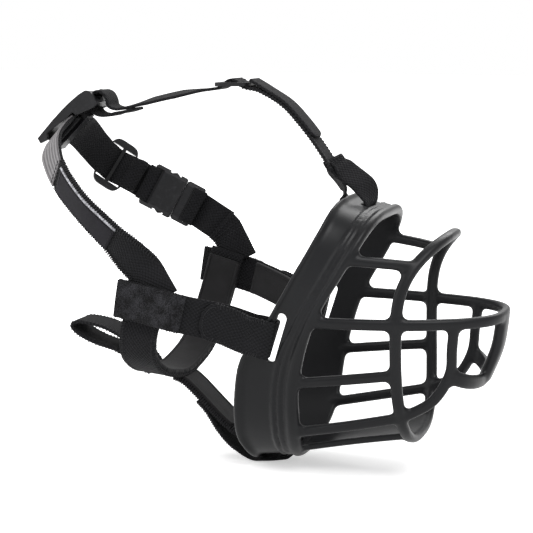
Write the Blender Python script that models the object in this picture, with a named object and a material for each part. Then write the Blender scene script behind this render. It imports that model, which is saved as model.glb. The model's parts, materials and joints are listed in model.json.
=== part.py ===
"""Basket muzzle with an adjustable webbing harness.

One flexible moulded basket carries a harness of flat webbing: a cheek strap through a slot
on each side, a throat strap, a chin strap through the bottom slot, a two-part neck strap
with a side-release buckle, and a crown strap through the top slot.

Frame: +X towards the nose, +Z up, Y across (the two sides mirror at Y = 0). The origin is
the middle of the basket's rear opening. Sizes below are in millimetres.
"""

import math

import bmesh
import bpy
from mathutils import Matrix, Vector

MM = 0.001
GAP = 0.3  # between pieces that lie against each other

# Collar band of the basket. Its plane leans forward at the top.
BAND_TILT = math.radians(17.0)
BAND_HALF_WIDTH = 47.0
BAND_TOP = 66.0
BAND_FRONT_BOTTOM = 70.5
BAND_REAR_BOTTOM = 82.5  # the band flares down towards the throat
BAND_WIDEST_AT = 10.0
BAND_LENGTH = 26.5
BAND_WALL = 3.0
# (height, place) along the band of its rear and front edges: both reach back at the sides.
REAR_EDGE = ((67.0, 0.0), (50.0, -0.5), (17.0, -7.0), (-5.0, -12.0), (-23.0, -18.5),
             (-45.0, -17.0), (-68.0, -12.5), (-83.0, -4.0))
FRONT_EDGE = ((67.0, 24.5), (44.0, 21.0), (8.0, 13.5), (-25.0, 14.5), (-54.0, 20.5),
              (-70.5, 21.5))
LIP = 1.3
BAND_STATIONS = 52

# Front hoop, bars and nose guard.
HOOP_TOP = 46.0
HOOP_BOTTOM = 60.0
HOOP_HALF_WIDTH = 40.5
HOOP_X = 55.5
HOOP_LEAN_TOP = 19.0
HOOP_LEAN_BOTTOM = 3.5
BAR_WIDTH = 5.6
BAR_DEPTH = 4.6
NOSE_TIP = 102.2
NOSE_RING_Z = 4.8
NOSE_RING_RISE = 1.3
LIP_BAR_DROP = 25.8  # from the nose ring down to where the lower lip bar starts
LIP_BAR_SAG = 6.6
LIP_BAR_REACH = 12.4
LIP_BAR_HALF_WIDTH = 28.2
LIP_BAR_WIDTH = 8.0
FRONT_BAR_WIDTH = 15.0
FRONT_BAR_DEPTH = 6.4
CHIN_PLATE_WIDTH = 40.0
CHIN_PLATE_DEPTH = 3.6
# Heights of the side bars on the band (across its own plane) and on the hoop.
SIDE_BARS = ((44.5, 33.5), (-25.0, -20.5), (-54.0, -43.5))
NOSE_BAR_AT_BAND = 8.0

# Webbing.
WEB_WIDTH = 20.0
WEB_THICK = 1.5
CROWN_WIDTH = 15.0
LINING_THICK = 1.8
PATCH_THICK = 0.8
SLOT_PLAY = 0.9  # slot past the webbing at each edge
SIDE_SLOT_EXTRA = 5.0  # the open part of the side slot above the webbing
SLOT_CLEAR = 3.6  # slot opening left beside the webbing
SIDE_SLOT_H = -5.6  # height of the side slots up the band
SIDE_SLOT_AT = 0.35  # slots' places along the band, as fractions of it
TOP_SLOT_AT = 0.46
TOP_SLOT_WIDTH = 2.0 * WEB_THICK + 2.2
BOTTOM_SLOT_AT = 0.66
BOTTOM_SLOT_WIDTH = WEB_THICK + 3.0
CHEEK_OUT = 60.0  # half width across the cheeks
NECK_END_OUT = CHEEK_OUT - WEB_THICK - GAP - 0.05  # the neck strap's end, next layer in
THROAT_OUT = NECK_END_OUT - WEB_THICK - GAP  # the throat strap, inside both

# Hardware.
GLIDE_LENGTH = 19.0
GLIDE_SIDE = 4.0
GLIDE_THICK = 2.0
GLIDE_BAR = 2.0
BUCKLE_WIDTH = 25.6
BUCKLE_THICK = 7.2
FEMALE_LENGTH = 22.0
MALE_LENGTH = 11.5
KEEPER_LENGTH = 37.0
KEEPER_WIDTH = CROWN_WIDTH + 6.6
WEB_DROP = 6.4  # the neck webbing lies this far under the keeper's middle

MATERIALS = {
    "basket_rubber": ((0.028, 0.029, 0.032), 0.42),
    "webbing": ((0.016, 0.016, 0.018), 0.85),
    "lining": ((0.024, 0.023, 0.024), 0.70),
    "loop_pile": ((0.018, 0.018, 0.020), 0.95),
    "reflective_web": ((0.20, 0.19, 0.20), 0.60),
    "reflective_cord": ((0.42, 0.43, 0.45), 0.35),
    "patch": ((0.030, 0.028, 0.034), 0.75),
    "buckle_plastic": ((0.022, 0.022, 0.024), 0.32),
}


# ---------------------------------------------------------------- scene helpers
def clear_scene():
    for obj in list(bpy.data.objects):
        bpy.data.objects.remove(obj, do_unlink=True)


def material(name):
    found = bpy.data.materials.get(name)
    if found:
        return found
    colour, roughness = MATERIALS[name]
    made = bpy.data.materials.new(name)
    made.use_nodes = True
    shader = made.node_tree.nodes["Principled BSDF"]
    shader.inputs["Base Color"].default_value = (*colour, 1.0)
    shader.inputs["Roughness"].default_value = roughness
    shader.inputs["Metallic"].default_value = 0.0
    return made


def add_object(name, bm, slot, origin=None):
    """Link a bmesh built in millimetres as a named object in metres."""
    bmesh.ops.recalc_face_normals(bm, faces=bm.faces)
    pivot = Vector(origin) if origin is not None else Vector()
    bmesh.ops.translate(bm, verts=bm.verts, vec=-pivot)
    bmesh.ops.scale(bm, verts=bm.verts, vec=(MM, MM, MM))
    mesh = bpy.data.meshes.new(name)
    bm.to_mesh(mesh)
    bm.free()
    obj = bpy.data.objects.new(name, mesh)
    obj.location = pivot * MM
    bpy.context.scene.collection.objects.link(obj)
    obj.data.materials.append(material(slot))
    return obj


def loft(rings, closed=False):
    """Skin a row of point rings; open rows get flat end caps."""
    bm = bmesh.new()
    rows = [[bm.verts.new(point) for point in ring] for ring in rings]
    pairs = list(zip(rows, rows[1:]))
    if closed:
        pairs.append((rows[-1], rows[0]))
    for one, two in pairs:
        count = len(one)
        for i in range(count):
            j = (i + 1) % count
            bm.faces.new((one[i], one[j], two[j], two[i]))
    if not closed:
        bm.faces.new(rows[0])
        bm.faces.new(list(reversed(rows[-1])))
    return bm


def boolean(target, tools, operation):
    """Apply one Boolean for each tool object, then remove the tools."""
    for tool in tools:
        step = target.modifiers.new("cut", "BOOLEAN")
        step.operation = operation
        step.solver = "EXACT"
        step.object = tool
        graph = bpy.context.evaluated_depsgraph_get()
        mesh = bpy.data.meshes.new_from_object(target.evaluated_get(graph))
        target.modifiers.clear()
        target.data = mesh
        bpy.data.objects.remove(tool, do_unlink=True)
    return target


def finish_round(obj, degrees=35.0):
    obj.data.shade_smooth()
    obj.data.set_sharp_from_angle(angle=math.radians(degrees))


# ---------------------------------------------------------------- paths
class Frame:
    """A local frame: u along the webbing, w across it, n outward from the head."""

    def __init__(self, origin, along, across):
        self.o = Vector(origin)
        self.u = Vector(along).normalized()
        raw = Vector(across)
        self.w = (raw - self.u * raw.dot(self.u)).normalized()
        self.n = self.w.cross(self.u).normalized()

    def at(self, u, w, n):
        return self.o + self.u * u + self.w * w + self.n * n


def catmull(p0, p1, p2, p3, t):
    return 0.5 * (
        2.0 * p1
        + (p2 - p0) * t
        + (2.0 * p0 - 5.0 * p1 + 4.0 * p2 - p3) * t * t
        + (3.0 * p1 - p0 - 3.0 * p2 + p3) * t * t * t
    )


def smooth_path(stations, step):
    """Points every step along a smooth curve through (place, across) stations."""
    spots = [Vector(place) for place, _ in stations]
    sides = [Vector(across).normalized() for _, across in stations]
    fine = []
    for i in range(len(spots) - 1):
        a, b, c, d = (max(0, i - 1), i, i + 1, min(len(spots) - 1, i + 2))
        for k in range(12):
            t = k / 12.0
            spot = catmull(spots[a], spots[b], spots[c], spots[d], t)
            fine.append((spot, sides[b].lerp(sides[c], t)))
    fine.append((spots[-1], sides[-1]))
    lengths = [0.0]
    for one, two in zip(fine, fine[1:]):
        lengths.append(lengths[-1] + (two[0] - one[0]).length)
    count = max(2, round(lengths[-1] / step))
    path = []
    k = 0
    for i in range(count + 1):
        want = lengths[-1] * i / count
        while k < len(fine) - 2 and lengths[k + 1] < want:
            k += 1
        span = lengths[k + 1] - lengths[k]
        t = (want - lengths[k]) / span if span > 1e-9 else 0.0
        path.append((fine[k][0].lerp(fine[k + 1][0], t), fine[k][1].lerp(fine[k + 1][1], t)))
    return path


def frames_along(path):
    frames = []
    for i, (spot, across) in enumerate(path):
        before = path[max(0, i - 1)][0]
        after = path[min(len(path) - 1, i + 1)][0]
        frames.append(Frame(spot, after - before, across))
    return frames


def flat_section(frame, width, thick, lift=0.0, aside=0.0):
    """A flat strip's four-cornered outline."""
    hw, ht = width / 2.0, thick / 2.0
    corners = ((-hw, -ht), (-hw, ht), (hw, ht), (hw, -ht))
    return [frame.at(0.0, aside + w, lift + n) for w, n in corners]


def ribbon(name, slot, stations, width, thick, **options):
    """A strip of webbing through the stations.

    span picks part of the run, lift and aside move the strip off the centre line, and
    origin places the object's origin.
    """
    step = options.get("step", 4.0)
    first, last = options.get("span", (0.0, 1.0))
    frames = frames_along(smooth_path(stations, step))
    count = len(frames) - 1
    low, high = round(first * count), round(last * count)
    rings = []
    for i in range(low, high + 1):
        rings.append(
            flat_section(
                frames[i], width, thick, options.get("lift", 0.0), options.get("aside", 0.0)
            )
        )
    if options.get("mirror"):
        rings = [[Vector((p.x, -p.y, p.z)) for p in ring] for ring in rings]
    origin = options.get("origin")
    if origin is not None and options.get("mirror"):
        origin = Vector((origin[0], -origin[1], origin[2]))
    return add_object(name, loft(rings), slot, origin)


# ---------------------------------------------------------------- the basket
def edge_place(edge, h):
    """The band edge's place at height h, smooth through its (height, place) pairs."""
    last = len(edge) - 1
    k = 0
    while k < last - 1 and h < edge[k + 1][0]:
        k += 1
    values = [edge[i][1] for i in (max(0, k - 1), k, k + 1, min(last, k + 2))]
    t = (edge[k][0] - h) / (edge[k][0] - edge[k + 1][0])
    return catmull(*values, min(1.0, max(0.0, t)))


def tilted(a, y, h):
    """a runs along the band towards the nose, h up its leaning plane."""
    x = a * math.cos(BAND_TILT) + h * math.sin(BAND_TILT)
    z = h * math.cos(BAND_TILT) - a * math.sin(BAND_TILT)
    return Vector((x, y, z))


def band_edges(part):
    """Rear and front edge places of the wall at one fraction of the way round."""
    rear, rear_normal = part[0]
    front, front_normal = part[1]
    a_rear = edge_place(REAR_EDGE, rear.y)
    a_front = edge_place(FRONT_EDGE, front.y)
    return (a_rear, rear, rear_normal), (a_front, front, front_normal)


def band_point(part, t, out):
    """A point t of the way from the rear edge to the front one, out from the wall."""
    one, two = band_edges(part)
    a = one[0] + (two[0] - one[0]) * t
    spot = one[1].lerp(two[1], t)
    normal = one[2].lerp(two[2], t).normalized()
    return tilted(a, spot.x + normal.x * out, spot.y + normal.y * out)


def band_parts(count):
    rear = oval(count, BAND_TOP, BAND_REAR_BOTTOM)
    front = oval(count, BAND_TOP, BAND_FRONT_BOTTOM)
    return list(zip(rear, front))


def band_at(h, t=1.0):
    """The right-hand part whose point at t lies nearest to height h on the band."""
    right = [part for part in band_parts(360) if part[0][0].x > 0.0]
    return min(right, key=lambda part: abs(part[0][0].lerp(part[1][0], t).y - h))


def wall_middle(top, t):
    """The middle of the wall's thickness at its top or its bottom, in the middle plane."""
    pick = max if top else min
    part = pick(band_parts(360), key=lambda one: one[0][0].y)
    spot = band_point(part, t, -BAND_WALL / 2.0)
    return Vector((spot.x, 0.0, spot.z))


def squarish(angle, half_width, up, down, power_up, power_down, centre):
    c, s = math.cos(angle), math.sin(angle)
    power = power_up if s >= 0.0 else power_down
    reach = up if s >= 0.0 else down
    y = half_width * math.copysign(abs(c) ** (2.0 / power), c)
    h = centre + reach * math.copysign(abs(s) ** (2.0 / power), s)
    return Vector((y, h))


def spaced_ring(fine, count):
    """Evenly spaced (place, outward normal) stations round a closed outline."""
    total = len(fine)
    lengths = [0.0]
    for i in range(total):
        lengths.append(lengths[-1] + (fine[(i + 1) % total] - fine[i]).length)
    spots = []
    k = 0
    for i in range(count):
        want = lengths[-1] * i / count
        while lengths[k + 1] < want:
            k += 1
        t = (want - lengths[k]) / max(1e-9, lengths[k + 1] - lengths[k])
        spots.append(fine[k].lerp(fine[(k + 1) % total], t))
    stations = []
    for i in range(count):
        run = spots[(i + 1) % count] - spots[i - 1]
        stations.append((spots[i], Vector((run.y, -run.x)).normalized()))
    return stations


def oval(count, top, bottom):
    """The band's outline, square at the top and narrower at the bottom."""
    up, down = top - BAND_WIDEST_AT, bottom + BAND_WIDEST_AT
    fine = [
        squarish(math.tau * i / 720, BAND_HALF_WIDTH, up, down, 3.4, 2.5, BAND_WIDEST_AT)
        for i in range(720)
    ]
    return spaced_ring(fine, count)


def make_band():
    """The collar band: a wall with a rear bead, a double bead and a stout front ring."""
    end = BAND_LENGTH
    profile = (
        (0.0, -BAND_WALL + 0.6), (0.0, LIP - 0.4), (0.7, LIP), (2.4, LIP), (3.4, 0.0),
        (end - 11.0, 0.0), (end - 10.2, LIP), (end - 8.8, 0.4), (end - 7.4, LIP),
        (end - 6.4, 0.2), (end - 4.4, LIP + 0.5), (end - 1.0, LIP + 0.5),
        (end, LIP - 0.5), (end, -BAND_WALL + 0.8), (end - 0.8, -BAND_WALL), (0.8, -BAND_WALL),
    )
    rings = []
    for part in band_parts(BAND_STATIONS):
        rings.append([band_point(part, a / end, out) for a, out in profile])
    return add_object("basket", loft(rings, closed=True), "basket_rubber")


def hoop_x(z):
    if z >= 0.0:
        return HOOP_X + HOOP_LEAN_TOP * (z / HOOP_TOP) ** 3
    return HOOP_X + HOOP_LEAN_BOTTOM * (z / HOOP_BOTTOM) ** 2


def hoop_half_width_at(z):
    centre = (HOOP_TOP - HOOP_BOTTOM) / 2.0
    t = min(0.999, abs(z - centre) / ((HOOP_TOP + HOOP_BOTTOM) / 2.0))
    return HOOP_HALF_WIDTH * (1.0 - t**2.75) ** (1.0 / 2.75)


def bar_ring(frame, width, depth):
    """A bar's rounded outline, width across and depth outward."""
    hw, hd = width / 2.0, depth / 2.0
    ring = []
    for i in range(8):
        angle = math.tau * (i + 0.5) / 8
        c, s = math.cos(angle), math.sin(angle)
        w = hw * math.copysign(abs(c) ** 0.7, c)
        n = hd * math.copysign(abs(s) ** 0.7, s)
        ring.append(frame.at(0.0, w, n))
    return ring


def bar(stations, width=BAR_WIDTH, depth=BAR_DEPTH, step=7.0):
    """One bar of the basket through its stations, each with an outward direction."""
    path = smooth_path(stations, step)
    rings = []
    for i, (spot, outward) in enumerate(path):
        before = path[max(0, i - 1)][0]
        after = path[min(len(path) - 1, i + 1)][0]
        along = (after - before).normalized()
        across = along.cross(outward)
        rings.append(bar_ring(Frame(spot, along, across), width, depth))
    return add_object("tool", loft(rings), "basket_rubber")


def make_hoop():
    middle = (HOOP_TOP - HOOP_BOTTOM) / 2.0
    half = (HOOP_TOP + HOOP_BOTTOM) / 2.0
    fine = [
        squarish(math.tau * i / 720, HOOP_HALF_WIDTH, half, half, 2.75, 2.75, middle)
        for i in range(720)
    ]
    rows = spaced_ring(fine, 48)
    places = [Vector((hoop_x(spot.y), spot.x, spot.y)) for spot, _ in rows]
    rings = []
    for i, place in enumerate(places):
        along = (places[(i + 1) % 48] - places[i - 1]).normalized()
        normal = rows[i][1]
        outward = Vector((0.0, normal.x, normal.y))
        across = along.cross(outward)
        rings.append(bar_ring(Frame(place, along, across), BAR_WIDTH + 0.6, BAR_DEPTH + 0.4))
    return add_object("tool", loft(rings, closed=True), "basket_rubber")


def band_front(h):
    """Middle of the front ring on the left side, at height h up the band."""
    return band_point(band_at(h), 1.0 - 2.5 / BAND_LENGTH, -BAND_WALL / 2.0 + 0.6)


def nose_half_width_at(x):
    start = band_front(NOSE_BAR_AT_BAND)
    t = min(1.0, max(0.0, (x - start.x) / (NOSE_TIP - start.x)))
    return start.y * max(0.0, 1.0 - t**1.7) ** 0.36


def nose_ring_z(x):
    t = min(1.0, max(0.0, (x - 13.0) / (NOSE_TIP - 13.0)))
    return NOSE_RING_Z + NOSE_RING_RISE * t * t


def nose_stations():
    """From the right side of the band round the nose to the left side."""
    start = band_front(NOSE_BAR_AT_BAND)
    half = start.y
    right = []
    for i in range(13):
        angle = math.radians(90.0) * i / 12
        x = start.x + (NOSE_TIP - start.x) * math.sin(angle) ** 1.18
        y = half * max(0.0, math.cos(angle)) ** 0.72
        outward = Vector((math.sin(angle) ** 3, -max(0.02, math.cos(angle)), 0.0))
        right.append((Vector((x, -y, nose_ring_z(x))), outward))
    left = [(Vector((p.x, -p.y, p.z)), Vector((n.x, -n.y, n.z))) for p, n in right[-2::-1]]
    return right + left


def lip_bar_start():
    x = HOOP_X + 25.0
    return Vector((x, LIP_BAR_HALF_WIDTH, NOSE_RING_Z - LIP_BAR_DROP))


def make_basket():
    basket = make_band()
    parts = [make_hoop(), bar(nose_stations(), BAR_WIDTH + 0.4, BAR_DEPTH)]
    for side in (-1.0, 1.0):
        for at_band, at_hoop in SIDE_BARS:
            start = band_front(at_band)
            end = Vector((hoop_x(at_hoop), hoop_half_width_at(at_hoop), at_hoop))
            outward = Vector((0.0, side, 0.25 if at_hoop > 0 else -0.3 if at_hoop < -40 else 0.0))
            ends = [Vector((p.x, side * p.y, p.z)) for p in (start, end)]
            middle = (ends[0] + ends[1]) / 2.0 + outward * 1.0
            parts.append(bar([(ends[0], outward), (middle, outward), (ends[1], outward)]))
        corner_z = SIDE_BARS[2][1]
        corner = Vector((hoop_x(corner_z), hoop_half_width_at(corner_z), corner_z))
        low = lip_bar_start()
        top_x = low.x + 2.5
        top = Vector((top_x, nose_half_width_at(top_x), nose_ring_z(top_x)))
        bend = (low + corner) / 2.0 + Vector((3.5, 0.0, -2.5))
        run = [Vector((p.x, side * p.y, p.z)) for p in (top, (top + low) / 2.0, low, bend, corner)]
        out = Vector((0.35, side, 0.0))
        parts.append(bar([(p, out) for p in run]))
    parts.append(bar(lip_stations(), LIP_BAR_WIDTH, BAR_DEPTH))
    tip = Vector((NOSE_TIP - 0.5, 0.0, NOSE_RING_Z + NOSE_RING_RISE))
    foot = Vector((lip_bar_start().x + LIP_BAR_REACH, 0.0, NOSE_RING_Z - LIP_BAR_DROP - LIP_BAR_SAG))
    belly = (tip + foot) / 2.0 + Vector((2.0, 0.0, 0.0))
    forward = Vector((1.0, 0.0, -0.25))
    parts.append(bar([(tip, forward), (belly, forward), (foot, forward)], FRONT_BAR_WIDTH, FRONT_BAR_DEPTH))
    parts.append(chin_plate())
    boolean(basket, parts, "UNION")
    boolean(basket, slot_cutters(), "DIFFERENCE")
    finish_round(basket)
    return basket


def lip_stations():
    """The lower lip bar: a shallow U in front of the chin."""
    low = lip_bar_start()
    points = []
    for i in range(13):
        angle = math.pi * i / 12
        reach = math.sin(angle)
        place = Vector((low.x + LIP_BAR_REACH * reach, -low.y * math.cos(angle), low.z - LIP_BAR_SAG * reach))
        outward = Vector((max(0.05, reach), -math.cos(angle), -0.35 * reach))
        points.append((place, outward))
    return points


def chin_plate():
    """The broad strip under the chin, dished across its width."""
    rear = wall_middle(False, 1.0 - 3.0 / BAND_LENGTH)
    front = Vector((hoop_x(-HOOP_BOTTOM), 0.0, -HOOP_BOTTOM))
    dish = 2.8
    rings = []
    for i in range(9):
        t = i / 8
        centre = rear.lerp(front, t) + Vector((0.0, 0.0, 1.0))
        upper, lower = [], []
        for k in range(9):
            s = 2.0 * k / 8 - 1.0
            half = (CHIN_PLATE_WIDTH / 2.0) * (1.0 - 0.12 * math.sin(math.pi * t))
            rise = dish * s * s
            upper.append(centre + Vector((0.0, s * half, rise + CHIN_PLATE_DEPTH / 2.0)))
            lower.append(centre + Vector((0.0, s * half, rise - CHIN_PLATE_DEPTH / 2.0)))
        rings.append(upper + lower[::-1])
    return add_object("tool", loft(rings), "basket_rubber")


def slot_box(centre, along, across, outward, length, width, depth):
    """A slot cutter with round ends; length runs along, width across."""
    frame = Matrix((along, across, outward)).transposed()
    rings = []
    for n in (-depth / 2.0, depth / 2.0):
        ring = []
        straight = length / 2.0 - width / 2.0
        for i in range(16):
            angle = math.tau * (i + 0.5) / 16
            shift = straight if math.cos(angle) > 0.0 else -straight
            local = Vector(
                (shift + width / 2.0 * math.cos(angle), width / 2.0 * math.sin(angle), n)
            )
            ring.append(Vector(centre) + frame @ local)
        rings.append(ring)
    return add_object("tool", loft(rings), "basket_rubber")


def side_slot_width():
    return WEB_THICK + GAP + SLOT_CLEAR


def slot_cutters():
    """Side slots for the cheek straps, a top slot and a bottom slot."""
    up = Vector((math.sin(BAND_TILT), 0.0, math.cos(BAND_TILT)))
    fore = Vector((math.cos(BAND_TILT), 0.0, -math.sin(BAND_TILT)))
    across = Vector((0.0, 1.0, 0.0))
    length = WEB_WIDTH + 2.0 * SLOT_PLAY + SIDE_SLOT_EXTRA
    cutters = []
    for side in (-1.0, 1.0):
        centre = side_slot_centre()
        centre.y *= side
        cutters.append(slot_box(centre, up, fore, across, length, side_slot_width(), 16.0))
    cross_length = CROWN_WIDTH + 2.0 * SLOT_PLAY
    top = wall_middle(True, TOP_SLOT_AT)
    cutters.append(slot_box(top, across, fore, up, cross_length, TOP_SLOT_WIDTH, 12.0))
    low_length = WEB_WIDTH + 2.0 * SLOT_PLAY
    low, run = bottom_slot()
    rise = run.cross(across)
    cutters.append(slot_box(low, across, run, rise, low_length, BOTTOM_SLOT_WIDTH, 12.0))
    return cutters


def bottom_slot():
    """The bottom slot's middle and the wall's direction there, towards the nose."""
    rear, front = wall_middle(False, 0.0), wall_middle(False, 1.0)
    return wall_middle(False, BOTTOM_SLOT_AT), (front - rear).normalized()


def side_slot_centre():
    """The slot's middle: the webbing fills its lower part."""
    return band_point(band_at(SIDE_SLOT_H, SIDE_SLOT_AT), SIDE_SLOT_AT, -BAND_WALL / 2.0)


# ---------------------------------------------------------------- cheek straps
def cheek_stations():
    """From the slot back to the cheek junction, on the right side (Y below 0)."""
    slot = side_slot_centre()
    up = Vector((math.sin(BAND_TILT), 0.0, math.cos(BAND_TILT)))
    fore = Vector((math.cos(BAND_TILT), 0.0, -math.sin(BAND_TILT)))
    drop = SIDE_SLOT_EXTRA / 2.0 - 0.6
    edge = slot - fore * (side_slot_width() / 2.0 - GAP - WEB_THICK / 2.0) - up * drop
    outer = slot.y + BAND_WALL / 2.0
    inner = slot.y - BAND_WALL / 2.0
    lean = Vector((0.29, 0.0, 0.96))
    flat = Vector((0.20, 0.0, 0.98))
    reach = WEB_THICK / 2.0 + GAP
    stations = [
        (Vector((edge.x, -(outer + 0.2), edge.z)), lean),
        (Vector((edge.x, -(inner - 0.6), edge.z)), lean),
        (Vector((edge.x - 1.8, -(inner - reach - 2.3), edge.z + 0.3)), lean),
        (Vector((edge.x - 7.0, -(inner - reach - 2.3), edge.z + 1.4)), lean),
        (Vector((edge.x - 13.0, -(inner - reach - 0.6), edge.z + 2.7)), lean),
        (Vector((-30.0, -(CHEEK_OUT - 11.5), 1.5)), flat),
        (Vector((-42.0, -(CHEEK_OUT - 5.3), 4.8)), flat),
        (Vector((-54.0, -(CHEEK_OUT - 0.6), 7.8)), flat),
        (Vector((-60.0, -CHEEK_OUT, 9.2)), flat),
        (Vector((-72.0, -CHEEK_OUT, 11.8)), flat),
        (Vector((-86.0, -CHEEK_OUT, 14.0)), flat),
    ]
    return stations, edge, outer


def tab_stations():
    """The folded-back end, from the slot's mouth along the outside of the strap."""
    stations, edge, outer = cheek_stations()
    lean = Vector((0.29, 0.0, 0.96))
    flat = Vector((0.20, 0.0, 0.98))
    off = LIP + WEB_THICK / 2.0 + GAP
    lift = WEB_THICK + GAP + 0.1
    return [
        (Vector((edge.x + 0.3, -(outer + 1.7), edge.z - 0.1)), lean),
        (Vector((edge.x - 2.4, -(outer + off + 0.8), edge.z + 0.4)), lean),
        (Vector((edge.x - 7.0, -(outer + off + 1.1), edge.z + 1.5)), lean),
        (Vector((edge.x - 14.0, -(outer + off + 1.1), edge.z + 2.9)), lean),
        (Vector((-30.0, -(CHEEK_OUT - 7.1), 1.5)), flat),
        (Vector((-42.0, -(CHEEK_OUT - 5.5 + lift), 4.8)), flat),
    ]


def make_cheeks():
    stations, edge, outer = cheek_stations()
    lining_lift = -(WEB_THICK / 2.0 + GAP + LINING_THICK / 2.0)
    pile_lift = WEB_THICK / 2.0 + GAP + 0.6
    for side, mirror in (("right", False), ("left", True)):
        ribbon(f"cheek_strap_{side}", "webbing", stations, WEB_WIDTH, WEB_THICK,
               mirror=mirror, step=3.2)
        ribbon(f"cheek_lining_{side}", "lining", stations, WEB_WIDTH - 1.5, LINING_THICK,
               mirror=mirror, lift=lining_lift, span=(0.27, 0.62))
        ribbon(f"loop_pile_{side}", "loop_pile", stations, WEB_WIDTH - 0.8, 1.2,
               mirror=mirror, lift=pile_lift, span=(0.63, 1.0))
        hinge = Vector((edge.x, -(outer + 1.75), edge.z))
        ribbon(f"cheek_tab_{side}", "webbing", tab_stations(), WEB_WIDTH, WEB_THICK,
               mirror=mirror, origin=hinge, step=3.2)


# ---------------------------------------------------------------- throat, chin, collar
def throat_stations():
    """From the right cheek junction under the throat to the left one."""
    flat = Vector((-0.97, 0.0, 0.25))
    half = [
        (Vector((-68.6, -THROAT_OUT, 22.5)), Vector((-0.96, 0.0, 0.28))),
        (Vector((-71.5, -THROAT_OUT, 12.0)), flat),
        (Vector((-74.5, -THROAT_OUT, 1.5)), flat),
        (Vector((-77.2, -THROAT_OUT + 1.2, -8.5)), Vector((-0.98, 0.0, 0.2))),
        (Vector((-79.0, -THROAT_OUT + 7.4, -20.0)), Vector((-0.99, 0.0, 0.1))),
        (Vector((-79.5, -THROAT_OUT + 22.5, -29.5)), Vector((-1.0, 0.0, 0.1))),
        (Vector((-79.5, -16.0, -34.5)), Vector((-1.0, 0.0, 0.1))),
    ]
    middle = [(Vector((-79.5, 0.0, -36.5)), Vector((-1.0, 0.0, 0.1)))]
    other = [(Vector((p.x, -p.y, p.z)), Vector(w)) for p, w in reversed(half)]
    return half + middle + other


def chin_path():
    """In the middle plane: off the throat strap, inside the band, out of the slot and back."""
    rear = wall_middle(False, 0.0)
    slot, run = bottom_slot()
    rise = run.cross(Vector((0.0, 1.0, 0.0)))
    clear = WEB_THICK / 2.0 + GAP
    low_in = BAND_WALL / 2.0 + clear + 0.9
    low_out = BAND_WALL / 2.0 + LIP + clear + 0.3
    return [
        Vector((-76.5, 0.0, -38.8)),
        Vector((-71.5, 0.0, -40.4)),
        Vector((-66.0, 0.0, -44.6)),
        Vector((-58.0, 0.0, -52.2)),
        Vector((-48.0, 0.0, -61.4)),
        rear + rise * (low_in + 4.0) - run * 7.5,
        rear + rise * (low_in + 1.0) - run * 1.0,
        rear + rise * (low_in + 0.1) + run * 6.0,
        slot + rise * low_in - run * 6.0,
        slot + rise * low_in - run * 1.3,
        slot + run * 0.5,
        slot - rise * (low_out - 0.7) - run * 1.4,
        slot - rise * low_out - run * 6.0,
        rear - rise * low_out + run * 3.0,
        rear - rise * (low_out - 1.2) - run * 5.0,
        Vector((-43.0, 0.0, -73.6)),
        Vector((-50.5, 0.0, -66.0)),
        Vector((-57.0, 0.0, -56.4)),
        Vector((-62.6, 0.0, -50.6)),
    ]


COLLAR_PIVOT = Vector((-80.5 - WEB_WIDTH / 2.0, 0.0, -35.5))  # its seam on the throat strap


def collar_path():
    """The loop behind the throat strap that a collar is threaded through."""
    shift = Vector((10.0 - WEB_WIDTH / 2.0, 0.0, 0.0))
    places = [
        Vector((-90.4, 0.0, -36.9)),
        Vector((-95.5, 0.0, -35.2)),
        Vector((-103.0, 0.0, -29.6)),
        Vector((-111.0, 0.0, -25.6)),
        Vector((-122.0, 0.0, -22.8)),
        Vector((-131.0, 0.0, -19.4)),
        Vector((-136.6, 0.0, -15.6)),
        Vector((-137.0, 0.0, -12.4)),
        Vector((-132.0, 0.0, -11.2)),
        Vector((-119.0, 0.0, -13.2)),
        Vector((-106.5, 0.0, -18.6)),
        Vector((-97.5, 0.0, -26.0)),
        Vector((-92.8, 0.0, -31.6)),
        Vector((-91.0, 0.0, -34.1)),
    ]
    return [place + shift for place in places]


def make_lower_straps():
    stations = throat_stations()
    inward = -(WEB_THICK / 2.0 + GAP + LINING_THICK / 2.0)
    ribbon("throat_strap", "webbing", stations, WEB_WIDTH, WEB_THICK, step=5.0)
    ribbon("throat_lining", "lining", stations, WEB_WIDTH - 1.0, LINING_THICK,
           lift=inward, span=(0.02, 0.98), step=5.0)
    across = Vector((0.0, 1.0, 0.0))
    chin = [(p, across) for p in chin_path()]
    ribbon("chin_strap", "webbing", chin, WEB_WIDTH, WEB_THICK, step=2.6)
    ribbon("chin_lining", "lining", chin, WEB_WIDTH - 1.5, LINING_THICK,
           lift=inward, span=(0.09, 0.26), step=2.6)
    loop = [(p, across) for p in collar_path()]
    ribbon("collar_loop", "webbing", loop, WEB_WIDTH, WEB_THICK, step=3.6,
           origin=COLLAR_PIVOT)


# ---------------------------------------------------------------- neck straps
KEEPER = Vector((-145.0, 0.0, 101.0))
KEEPER_ALONG = Vector((0.70, 0.0, 0.71)).normalized()
CROWN_BAR = (23.9, -10.5)  # along and outwards from the keeper's middle
GLIDE = Frame((-133.0, 43.0, 71.5), (0.70, 0.44, -0.56), (0.38, 0.50, 0.78))
BUCKLE = Frame((-104.0, 56.5, 53.5), (0.87, 0.20, -0.456), (0.33, 0.28, 0.90))

MID_WEB = (Vector((-122.6, 49.4, 64.4)), Vector((0.36, 0.42, 0.83)))  # glide to buckle


def weave(u):
    """Height of the webbing as it passes under, over and under a glide's bars."""
    crest = GLIDE_THICK / 2.0 + WEB_THICK / 2.0 + GAP + 0.15
    return crest * math.cos(math.pi * u / (GLIDE_LENGTH / 2.0 - 0.75))


def weave_stations(frame, across):
    reach = GLIDE_LENGTH / 2.0 - 0.75
    count = 8
    places = [reach * (2.0 * i / count - 1.0) for i in range(count + 1)]
    return [(frame.at(u, 0.0, weave(u)), across) for u in places]


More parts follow.
